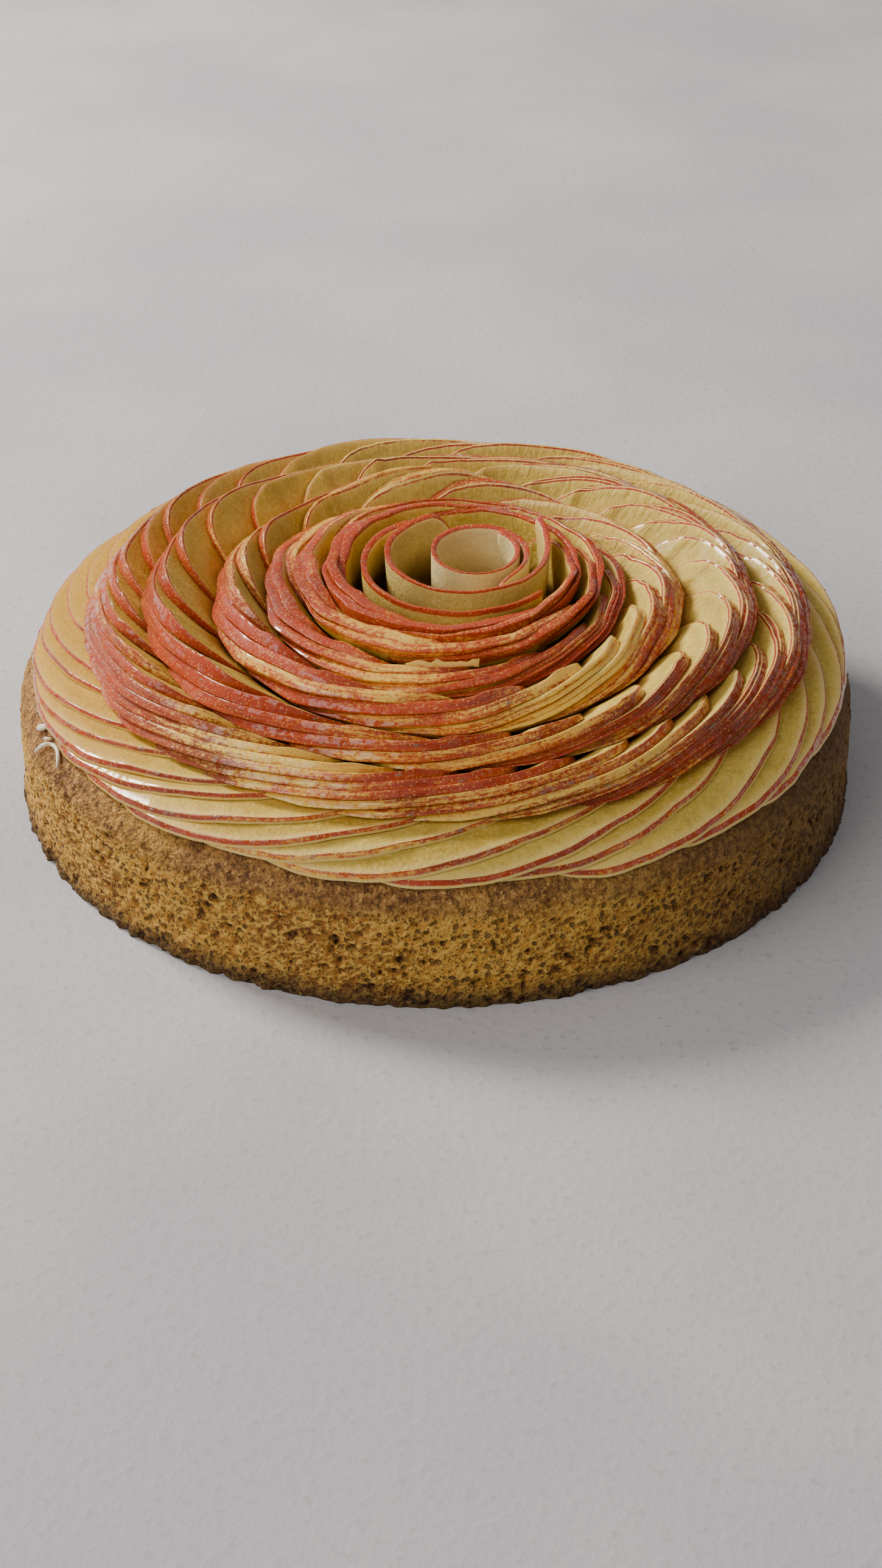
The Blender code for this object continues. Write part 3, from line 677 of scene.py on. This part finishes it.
def rim_corners(foot_outer, foot_inner, pale_line):
    """The corners round a slice's section, outer face first: how far through the slice, how far below the
    skin line, whether it is skin, and whether it is on the outer face."""
    corners = [(0.0, foot_outer, False, True)]
    corners += [(0.0, np.minimum(depth, foot_outer - EDGE_CLEAR), False, True) for depth in FACE_DEPTHS[::-1]]
    corners += [(part, depth, part < SKIN_UNTIL, True) for part, depth in RIM_TURNS]
    for depth in FACE_DEPTHS:
        is_skin = depth == FACE_DEPTHS[0] and not pale_line
        corners.append((1.0, np.minimum(depth, foot_inner - EDGE_CLEAR), is_skin, False))
    return corners + [(1.0, foot_inner, False, False)]


def ring_leaf(ring, angle, layer, thickness, drop, feet, pale_line, peel_depth, **looks):
    """One closed surface from a layer inwards: a whole slice, or one leaf of a slice that has parted."""
    along, across = lean_of(ring)
    corners = []
    for part, below, is_skin, outer in rim_corners(feet[0] - drop, feet[1] - drop, pale_line):
        depth = layer + part * thickness
        down = drop + SKIN_SLANT * part + below
        face_radius = ring["rim"][0] + across[0] * depth
        face_height = ring["rim"][1] + across[1] * depth
        gauge = face_radius - (face_height - GAUGE_HEIGHT) * along[0] / along[1]
        sway = sum(size * np.sin(times * angle + turn * ring["seed"]) for size, times, turn in SWAYS)
        radius = face_radius - along[0] * down - sway * np.clip(1 - below / SWAY_DEPTH, 0.0, 1.0)
        points = shifted(radius, face_height - along[1] * down, angle, gauge)
        corners.append((points, part, below, is_skin, peel_depth if outer else NO_PEEL))
    return slice_surface(corners, thickness, MIDDLE_CORNER, **looks)


def ring_slice(ring, outside, index, chance, draw):
    """The surfaces of one standing slice of a leaning ring."""
    first, last = slice_ends(ring, index)
    last -= chance.uniform(*CUT_SHORT)
    facing = 0.5 + 0.5 * math.cos(float(spread_angle(ring, index)) - math.radians(OPEN_AT))
    sink = LEAST_SINK + (1 - LEAST_SINK) * facing ** 2
    tip = ring["tip"] * sink * chance.uniform(*TIP_VARIES)
    tail = ring["tail"] * chance.uniform(*TAIL_VARIES)
    raise_by = chance.uniform(*RAISED)
    part_way = np.linspace(-1.0, 1.0, STATIONS)
    place = (first + last) / 2 + part_way * (last - first) / 2
    angle = spread_angle(ring, place)
    layer, inner_layer = slice_levels(ring, index, place)
    thickness = (inner_layer - layer) * (SLICE_KEPT + SLICE_WAVE * ripple(STATIONS, 5, draw))
    innermost = ramp(inner_layer / (ring["stack"] + LAP), SWOLLEN_FROM, 1.0)
    thickness = thickness + SWOLLEN * innermost * ramp(thickness, *SWOLLEN_THICK)
    foot = foot_depth(ring, outside, layer)
    feet = (foot, foot_depth(ring, outside, layer + thickness))
    drop = waved(skin_drop(ring, part_way, tip, tail) + raise_by, RIM_WAVES, draw)
    cut = np.where(part_way < 0, OUTER_CUT, INNER_CUT)
    power = np.where(part_way < 0, OUTER_CUT_POWER, INNER_CUT_POWER)
    drop = drop + cut * (foot - drop) * np.abs(part_way) ** power
    drop = np.minimum(drop, foot - SHORTEST_FOOT)
    torn = facing ** 2 * ramp(part_way, *TORN_BETWEEN) * np.abs(ripple(STATIONS, TORN_BENDS, draw))
    peel_depth = ring["peel"] * (LEAST_PEEL + MORE_PEEL * draw.random())
    peel_depth = peel_depth * (1 + PEEL_WAVE * ripple(STATIONS, 6, draw))
    pale_line = draw.random() < ring["pale_lines"]
    tone = draw.random()
    paler, fair_at, fair_over = ring["fair"]
    turned = (np.degrees(angle) - fair_at + 180.0) % 360.0 - 180.0
    blush = ring["blush"] + draw.uniform(*BLUSH_SPREAD) - paler * np.exp(-(turned / fair_over) ** 2)
    leaves = ring["leaves"] if facing > PARTED_FROM else 1
    surfaces = []
    for leaf in range(leaves):
        lower = leaf * facing ** 2 * (LEAF_LOWER + LEAF_WAVE * ripple(STATIONS, 5, draw))
        leaf_drop = np.minimum(drop + torn * TORN + lower, foot - SHORTEST_FOOT)
        leaf_thickness = thickness * (PARTED_THIN if leaves > 1 else 1.0) / leaves
        surfaces.append(ring_leaf(
            ring, angle, layer + thickness * leaf / leaves, leaf_thickness, leaf_drop, feet, pale_line,
            peel_depth * (leaf == 0), tone=tone + LEAF_TONE * leaf, blush=blush, folded=facing ** 2))
    return surfaces


rims = []
apple = apple_finish()
outside = None
for letter, ring in RINGS.items():
    chance = random.Random(ring["seed"])
    draw = np.random.default_rng(ring["seed"])
    for first in range(0, ring["slices"], ring["fan"]):
        surfaces = []
        for index in range(first, first + ring["fan"]):
            surfaces += ring_slice(ring, outside, index, chance, draw)
        number = first // ring["fan"] + 1
        add_fan(f"slices_{letter}_{number:02d}", surfaces, [f"apple_{letter}_{number:02d}"])
    outside = ring

# The outermost ring is thirty slices that lie nearly flat, like shingles. They bend down over the rounded
# edge of the base, hang a little past it, and go under the next ring with their inner edges.
OUTER = dict(slices=30, fan=3, width=54.0, stack=6.9, rim_radius=107.0, tip=24.0, tail=3.5, crest=-0.50,
             crowd=0.15, crowd_at=180.0, seed=28, blush=0.62)
OUTER_LIFT = 4.6
OUTER_SAG = 1.0
OUTER_SWELL = 0.5
OUTER_INSIDE = 84.0
OUTER_KNEE = 101.0
OUTER_SHIFT = 1.3
OUTER_START = FLOOR_Z + 0.4
KNEE_CLEAR, KNEE_SHARE = 0.6, 0.6
EDGE_ABOVE = 1.0
TUCK_RADIUS = 93.0
TUCK_BETWEEN, TUCK_STEPS = (60.0, 110.0), 20
TUCKED = 4.0
SHOWN_STEPS = 160
NARROWEST = 0.6
PULLED = (-0.8, 0.8)
FLAT_KEPT, FLAT_WAVE = 0.93, 0.05
OUTER_WAVES = ((0.35, 7), (0.12, 24))
OUTER_POINT, OUTER_POINT_POWER = 4.0, 14
FLAT_SKIN_FROM = 0.3
OUTER_SHARES = (1.0, 0.74, 0.48, 0.26)
OUTER_DEPTHS, EDGE_SHARE = (0.42, 1.1), 0.2
SLANT_OVER = 4.0
LIFT, LIFT_OVER = 0.25, 10.0
DEEP_FLAT = 0.6


def base_surface(radius):
    """The height of the base's upper side at a radius."""
    over = np.maximum(0.0, radius - EDGE_START)
    return BASE_HEIGHT - EDGE_ROUND + np.sqrt(np.maximum(0.0, EDGE_ROUND ** 2 - over ** 2))


def outer_height(radius, angle):
    """The height that the lowest slices lie at: bent down at the front, lifted at the back."""
    rise = OUTER_LIFT * np.sin(angle) - OUTER_SAG + OUTER_SWELL * np.sin(4 * angle + 0.6)
    off_centre = OUTER_SHIFT * np.cos(angle)
    knee = np.maximum(OUTER_START + rise * KNEE_SHARE, base_surface(OUTER_KNEE + off_centre) + KNEE_CLEAR)
    edge = np.maximum(OUTER_START + rise, base_surface(OUTER["rim_radius"] + off_centre) + EDGE_ABOVE)
    inside = OUTER_START + (knee - OUTER_START) * (radius - OUTER_INSIDE) / (OUTER_KNEE - OUTER_INSIDE)
    beyond = knee + (edge - knee) * (radius - OUTER_KNEE) / (OUTER["rim_radius"] - OUTER_KNEE)
    return np.where(radius < OUTER_KNEE, inside, beyond)


def next_ring_edge(angle, height):
    """The radius at which the flat slices go under the next ring in."""
    ring = RINGS["b"]
    along, _ = lean_of(ring)
    rim_radius, rim_height = ring["rim"]
    gauge = rim_radius - (rim_height - GAUGE_HEIGHT) * along[0] / along[1]
    low, high = (np.full_like(angle, radius) for radius in TUCK_BETWEEN)
    for _ in range(TUCK_STEPS):
        radius = (low + high) / 2
        even = rim_height - (rim_radius - radius) * along[1] / along[0]
        above = shifted(radius, even, angle, gauge)[..., 2] > height
        high = np.where(above, radius, high)
        low = np.where(above, low, radius)
    spot = shifted(high, np.full_like(angle, rim_height), angle, gauge)
    return np.hypot(spot[..., 0] - OUTER_SHIFT, spot[..., 1]) + ring["gap"]


def flat_slice(index, chance, draw):
    """One slice of the outermost ring."""
    ring = OUTER
    first, last = slice_ends(ring, index)
    tip = ring["tip"] * chance.uniform(*TIP_VARIES)
    pull = chance.uniform(*PULLED)

    def laid(place):
        """The angle, levels, inner edge and skin line at places along the slice."""
        angle = spread_angle(ring, place)
        low, high = slice_levels(ring, index, place)
        part_way = 2 * (place - first) / (last - first) - 1
        edge = ring["rim_radius"] - skin_drop(ring, part_way, tip, ring["tail"]) + pull
        inner = np.maximum(OUTER_INSIDE, next_ring_edge(angle, outer_height(TUCK_RADIUS, angle) + high))
        return angle, low, high, inner, edge

    place = np.linspace(first, last, SHOWN_STEPS)
    _, _, _, inner, edge = laid(place)
    shown = np.nonzero(edge - inner > 1.0 - TUCKED)[0][-1]
    angle, layer, high, inner, edge = laid(np.linspace(first, place[shown], STATIONS))
    thickness = (high - layer) * (FLAT_KEPT + FLAT_WAVE * ripple(STATIONS, 5, draw))
    start = 1 - np.linspace(0.0, 1.0, STATIONS)
    edge = waved(edge, OUTER_WAVES, draw) - OUTER_POINT * start ** OUTER_POINT_POWER
    inner = np.minimum(inner - TUCKED, edge - NARROWEST)
    width = edge - inner
    lift = LIFT * ripple(STATIONS, 6, draw)
    face = [share * width for share in OUTER_SHARES]
    face += [np.minimum(depth, EDGE_SHARE * width) for depth in OUTER_DEPTHS[::-1]]
    sides = [(0.0, inwards, False) for inwards in face]
    sides += [(part, np.minimum(depth, EDGE_SHARE * width), part > FLAT_SKIN_FROM)
              for part, depth in RIM_TURNS]
    sides += [(1.0, inwards, False) for inwards in face[::-1]]
    corners = []
    for part, inwards, is_skin in sides:
        radius = edge - inwards - SKIN_SLANT * part * np.clip(1 - inwards / SLANT_OVER, 0, 1)
        free = np.clip(1 - inwards / LIFT_OVER, 0.0, 1.0)
        height = outer_height(radius, angle) + layer + part * thickness + lift * free
        points = np.stack([radius * np.cos(angle) + OUTER_SHIFT, radius * np.sin(angle), height], axis=-1)
        corners.append((points, part, inwards * DEEP_FLAT, is_skin, NO_PEEL))
    blush = ring["blush"] + draw.uniform(*BLUSH_SPREAD)
    return slice_surface(corners, thickness, len(face) + len(RIM_TURNS) // 2, blush=blush, tone=draw.random())


chance = random.Random(OUTER["seed"])
draw = np.random.default_rng(OUTER["seed"])
for first in range(0, OUTER["slices"], OUTER["fan"]):
    surfaces = [flat_slice(index, chance, draw) for index in range(first, first + OUTER["fan"])]
    number = first // OUTER["fan"] + 1
    add_fan(f"slices_a_{number:02d}", surfaces, [f"apple_a_{number:02d}"])

# The bud at the centre is two long slices wrapped on edge round a tightly rolled one, and a torn flake of
# apple lies loose on the rings in front of it. They are held by each other and by the glaze.
ON_EDGE = {
    "wrap_outer": dict(centre=(6.2, 0.6), rest=25.6, open_by=0.4, open_over=-30.0, start=108.0, turn=216.0,
                       thickness=1.7, foot=46.0, top=59.4, back_up=1.0, rise=0.0, lean=3.0, torn=0.0,
                       blush=1.0, pale=0.15, peel=1.6, seed=81),
    "wrap_inner": dict(centre=(7.6, 3.5), rest=20.9, open_by=3.6, open_over=-35.0, start=95.0, turn=300.0,
                       thickness=1.7, foot=39.5, top=60.9, back_up=0.9, rise=2.2, lean=3.0, torn=0.0,
                       blush=0.95, pale=0.25, peel=0.8, seed=82),
    "roll": dict(centre=(10.6, 4.4), rest=11.2, open_by=5.2, open_over=125.0, start=-90.0, turn=505.0,
                 thickness=1.5, foot=35.9, top=60.6, back_up=1.0, rise=0.0, lean=0.0, torn=0.0,
                 blush=1.0, pale=0.7, peel=0.5, seed=83),
    "flake": dict(centre=(2.5, -3.8), rest=43.6, open_by=0.0, open_over=90.0, start=257.0, turn=24.0,
                  thickness=1.1, foot=55.0, top=57.4, back_up=0.0, rise=0.0, lean=20.0, torn=1.1,
                  blush=-0.4, pale=0.9, peel=0.4, seed=84),
}
POINT_LENGTH = 0.16
POINT_HEIGHT = 3.0
START_CUT, START_OVER, START_POWER = 0.45, 9.0, 2.5
FEWEST_STATIONS = 24
STATION_STEP = 70
EDGE_KEPT, EDGE_WAVE = 0.95, 0.05
TOP_WAVES = ((0.2, 12), (0.08, 40))


def slice_on_edge(sizes):
    """A slice that is wrapped on edge, with a fine skin line along its rim."""
    draw = np.random.default_rng(sizes["seed"])
    count = max(FEWEST_STATIONS, int(sizes["turn"] * sizes["rest"] / STATION_STEP))
    turned = np.linspace(0.0, sizes["turn"], count)
    from_opening = turned if sizes["open_over"] > 0 else turned - sizes["turn"]
    angle = np.radians(sizes["start"] + turned)
    outer = sizes["rest"] + sizes["open_by"] * np.exp(-from_opening / sizes["open_over"])
    point = np.maximum(0.0, 1 - (sizes["turn"] - turned) / (sizes["turn"] * POINT_LENGTH))
    top = sizes["top"] + sizes["back_up"] * np.sin(angle) + sizes["rise"] * point
    top = waved(top, TOP_WAVES, draw)
    top = top - sizes["torn"] * np.abs(ripple(count, 6, draw)) * (1 - point)
    from_start = np.radians(turned) * sizes["rest"]
    cut = START_CUT * np.clip(1 - from_start / START_OVER, 0.0, 1.0) ** START_POWER
    top = top - (top - sizes["foot"]) * cut
    foot = sizes["foot"] + (top - sizes["foot"] - POINT_HEIGHT) * point ** 2
    lean = math.tan(math.radians(sizes["lean"]))
    thickness = sizes["thickness"] * (EDGE_KEPT + EDGE_WAVE * ripple(count, 9, draw))
    corners = []
    for part, below, is_skin, outward in rim_corners(top - foot, top - foot - SKIN_SLANT, True):
        radius = outer - part * thickness - lean * np.clip(below, 0, None)
        x = radius * np.cos(angle) + sizes["centre"][0]
        y = radius * np.sin(angle) + sizes["centre"][1]
        points = np.stack([x, y, top - SKIN_SLANT * part - below], axis=-1)
        corners.append((points, part, below, is_skin, sizes["peel"] if outward else NO_PEEL))
    return slice_surface(corners, thickness, MIDDLE_CORNER, tone=draw.random(), blush=sizes["blush"],
                         pale=sizes["pale"])


for name, sizes in ON_EDGE.items():
    add_fan(f"bud_{name}", [slice_on_edge(sizes)], [f"apple_{name}"])

# The glaze is a clear syrup of apple and sugar, brushed on while the tart is warm. It stands in small drops
# and short streaks along the skin edges, and they catch the light.
DROPS = 900
DROP_ROWS = 5
DROP_COLUMNS = 8
DROP_SIZES = (0.20, 0.42)
DROP_HEIGHT = 0.45
DROP_ACROSS = (0.15, 0.85)
DROP_SEED = 95
LONGEST_STREAK = 4.0
CLEAR_START, CLEAR_END = 5, 6
SYRUP_GOLD = (1.0, 0.90, 0.66)
SYRUP_CLEAR = (1.0, 0.98, 0.90)


def glaze_finish():
    finish = Finish("clear_glaze")
    swirl = finish.grain(1.5, 2.0)
    finish.feed(finish.surface, {
        "Base Color": finish.mixed(SYRUP_GOLD, SYRUP_CLEAR, swirl), "Roughness": 0.03 + swirl * 0.05,
        "IOR": 1.42, "Transmission Weight": 0.9, "Normal": finish.bumped(swirl, 0.1)})
    return finish.material


draw = np.random.default_rng(DROP_SEED)
ball = [(0.0, 0.0, 1.0)]
for polar in math.pi * np.arange(1, DROP_ROWS) / DROP_ROWS:
    for turn in math.tau * np.arange(DROP_COLUMNS) / DROP_COLUMNS:
        ball.append((math.sin(polar) * math.cos(turn), math.sin(polar) * math.sin(turn), math.cos(polar)))
ball.append((0.0, 0.0, -1.0))
ball = np.array(ball)
ball_faces = []
for column in range(DROP_COLUMNS):
    beside = (column + 1) % DROP_COLUMNS
    ball_faces.append((0, 1 + column, 1 + beside))
    for row in range(DROP_ROWS - 2):
        high = 1 + row * DROP_COLUMNS
        low = high + DROP_COLUMNS
        ball_faces.append((high + column, low + column, low + beside, high + beside))
    low = 1 + (DROP_ROWS - 2) * DROP_COLUMNS
    ball_faces.append((len(ball) - 1, low + beside, low + column))
drop_points, drop_faces = [], []
for number in range(DROPS):
    rim = rims[draw.integers(len(rims))]
    station = draw.integers(CLEAR_START, len(rim) - CLEAR_END)
    along = rim[station + 1].mean(0) - rim[station - 1].mean(0)
    along /= np.linalg.norm(along)
    outward = np.cross(along, rim[station, -1] - rim[station, 0])
    outward *= math.copysign(1.0, outward[2]) / np.linalg.norm(outward)
    streak = 1.0 + LONGEST_STREAK * draw.random() ** 2
    size = draw.uniform(*DROP_SIZES)
    axes = np.array([along * size * streak, np.cross(outward, along) * size, outward * size * DROP_HEIGHT])
    middle = rim[station, 0] + (rim[station, -1] - rim[station, 0]) * draw.uniform(*DROP_ACROSS)
    drop_faces.extend([[number * len(ball) + corner for corner in face] for face in ball_faces])
    drop_points.append(ball @ axes + middle)
add_piece("glaze_drops", np.vstack(drop_points), drop_faces, {}, glaze_finish())

# Three pale parings of apple lie on the rounded edge of the base at the left: a thin curl, a strip and a
# chip. They fell there as the tart was put together and baked on to the crumb.
PARING_GAP = 0.4
PARING_CORNERS = 8
PARING_SLIM = 0.55
PARING_UNEVEN = (0.92, 1.04)
CURL = dict(angle=207.4, down=15.6, bend=7.4, first=196.0, turn=128.0, thickness=1.1, height=1.2, steps=24,
            seed=91)
STRIP = dict(first=(203.6, 9.4), last=(205.2, 7.9), thickness=1.0, height=0.9, steps=6, seed=92)
CHIP = dict(first=(200.6, 9.6), last=(202.4, 7.2), thickness=2.2, height=1.2, steps=6, seed=93)
PARING_BROWN = (0.55, 0.40, 0.20)
PARING_CREAM = (0.88, 0.80, 0.60)


def paring_finish():
    finish = Finish("pale_paring")
    mottle = finish.grain(1.6, 3.0)
    finish.feed(finish.surface, {
        "Base Color": finish.mixed(PARING_BROWN, PARING_CREAM, finish.rise(mottle, 0.35, 0.62)),
        "Roughness": 0.5 - mottle * 0.1, "Normal": finish.bumped(mottle, 0.3), "Subsurface Weight": 0.2,
        "Subsurface Scale": 0.001})
    return finish.material


def edge_point(angle, down, lift):
    """A point above the base's rounded edge, down millimetres outwards from where the rounding starts."""
    turn = down / EDGE_ROUND
    radius = EDGE_START + (EDGE_ROUND + lift) * math.sin(turn)
    height = BASE_HEIGHT - EDGE_ROUND + (EDGE_ROUND + lift) * math.cos(turn)
    return Vector((radius * math.cos(math.radians(angle)), radius * math.sin(math.radians(angle)), height))


def add_paring(name, route, sizes, finish):
    """A thin paring with a rounded section along a route of (angle, down) places."""
    draw = np.random.default_rng(sizes["seed"])
    sections = []
    for index, (angle, down) in enumerate(route):
        before = edge_point(*route[max(0, index - 1)], PARING_GAP)
        after = edge_point(*route[min(len(route) - 1, index + 1)], PARING_GAP)
        low = edge_point(angle, down, PARING_GAP)
        up = (edge_point(angle, down, PARING_GAP + 1.0) - low).normalized()
        side = up.cross(after - before).normalized()
        end = abs(2 * index / (len(route) - 1) - 1)
        slim = (1 - PARING_SLIM * end ** 4) * draw.uniform(*PARING_UNEVEN)
        section = []
        for corner in range(PARING_CORNERS):
            turn = math.tau * corner / PARING_CORNERS
            section.append(low + side * (math.cos(turn) * sizes["thickness"] / 2 * slim)
                           + up * (sizes["height"] / 2 * (1 + math.sin(turn) * slim)))
        sections.append(section)
    points, faces = skinned(np.array(sections))
    add_piece(f"paring_{name}", points, faces, {}, finish, [f"peel_{name}"])


pale = paring_finish()
route = []
for step in range(CURL["steps"] + 1):
    turn = math.radians(CURL["first"] + CURL["turn"] * step / CURL["steps"])
    route.append((CURL["angle"] + math.degrees(CURL["bend"] * math.cos(turn) / BASE_RADIUS),
                  CURL["down"] + CURL["bend"] * math.sin(turn)))
add_paring("curl", route, CURL, pale)
for name, sizes in (("strip", STRIP), ("chip", CHIP)):
    first, last = sizes["first"], sizes["last"]
    route = [(first[0] + (last[0] - first[0]) * step / sizes["steps"],
              first[1] + (last[1] - first[1]) * step / sizes["steps"]) for step in range(sizes["steps"] + 1)]
    add_paring(name, route, sizes, pale)

# The tart stands on a plain pale floor with a fine grain. A large soft light stands behind it to the left,
# and a weaker one in front fills the shade.
FLOOR_GREY = (0.52, 0.50, 0.505)
FLOOR_PALE = (0.63, 0.60, 0.595)
FLOOR_SPECKS = (0.40, 0.36, 0.36)
FLOOR_CORNERS = ((-3, -2, 0), (3, -2, 0), (3, 5, 0), (-3, 5, 0))
LIGHTS = {
    "window": dict(place=(-1.0, 0.75, 0.95), size=0.42, energy=31.0, tint=(1.0, 0.97, 0.92)),
    "front_fill": dict(place=(-1.1, -0.8, 1.0), size=1.2, energy=12.0, tint=(1.0, 0.98, 0.96)),
}
ROOM_TINT = (0.96, 0.97, 1.0, 1.0)
ROOM_STRENGTH = 0.33
finish = Finish("pale_floor")
grain = finish.grain(1.2, 3.0)
colour = finish.layered(
    FLOOR_GREY,
    (FLOOR_PALE, finish.rise(finish.grain(90.0, 3.0), 0.35, 0.65)),
    (FLOOR_SPECKS, finish.rise(grain, 0.56, 0.72) * 0.45))
finish.feed(finish.surface, {"Base Color": colour, "Roughness": 0.8 - grain * 0.1,
                             "Normal": finish.bumped(grain, 0.25)})
floor_mesh = bpy.data.meshes.new("floor")
floor_mesh.from_pydata(FLOOR_CORNERS, [], [(0, 1, 2, 3)])
floor_mesh.materials.append(finish.material)
floor = bpy.data.objects.new("floor", floor_mesh)
bpy.context.scene.collection.objects.link(floor)

for name, sizes in LIGHTS.items():
    light = bpy.data.objects.new(name, bpy.data.lights.new(name, "AREA"))
    light.data.shape = "SQUARE"
    light.data.size = sizes["size"]
    light.data.energy = sizes["energy"]
    light.data.color = sizes["tint"]
    light.location = sizes["place"]
    light.rotation_euler = (-Vector(sizes["place"])).to_track_quat("-Z", "Y").to_euler()
    bpy.context.scene.collection.objects.link(light)
world = bpy.data.worlds.new("room")
world.use_nodes = True
around = world.node_tree.nodes["Background"].inputs
around["Color"].default_value = ROOM_TINT
around["Strength"].default_value = ROOM_STRENGTH
bpy.context.scene.world = world

bpy.context.view_layer.update()
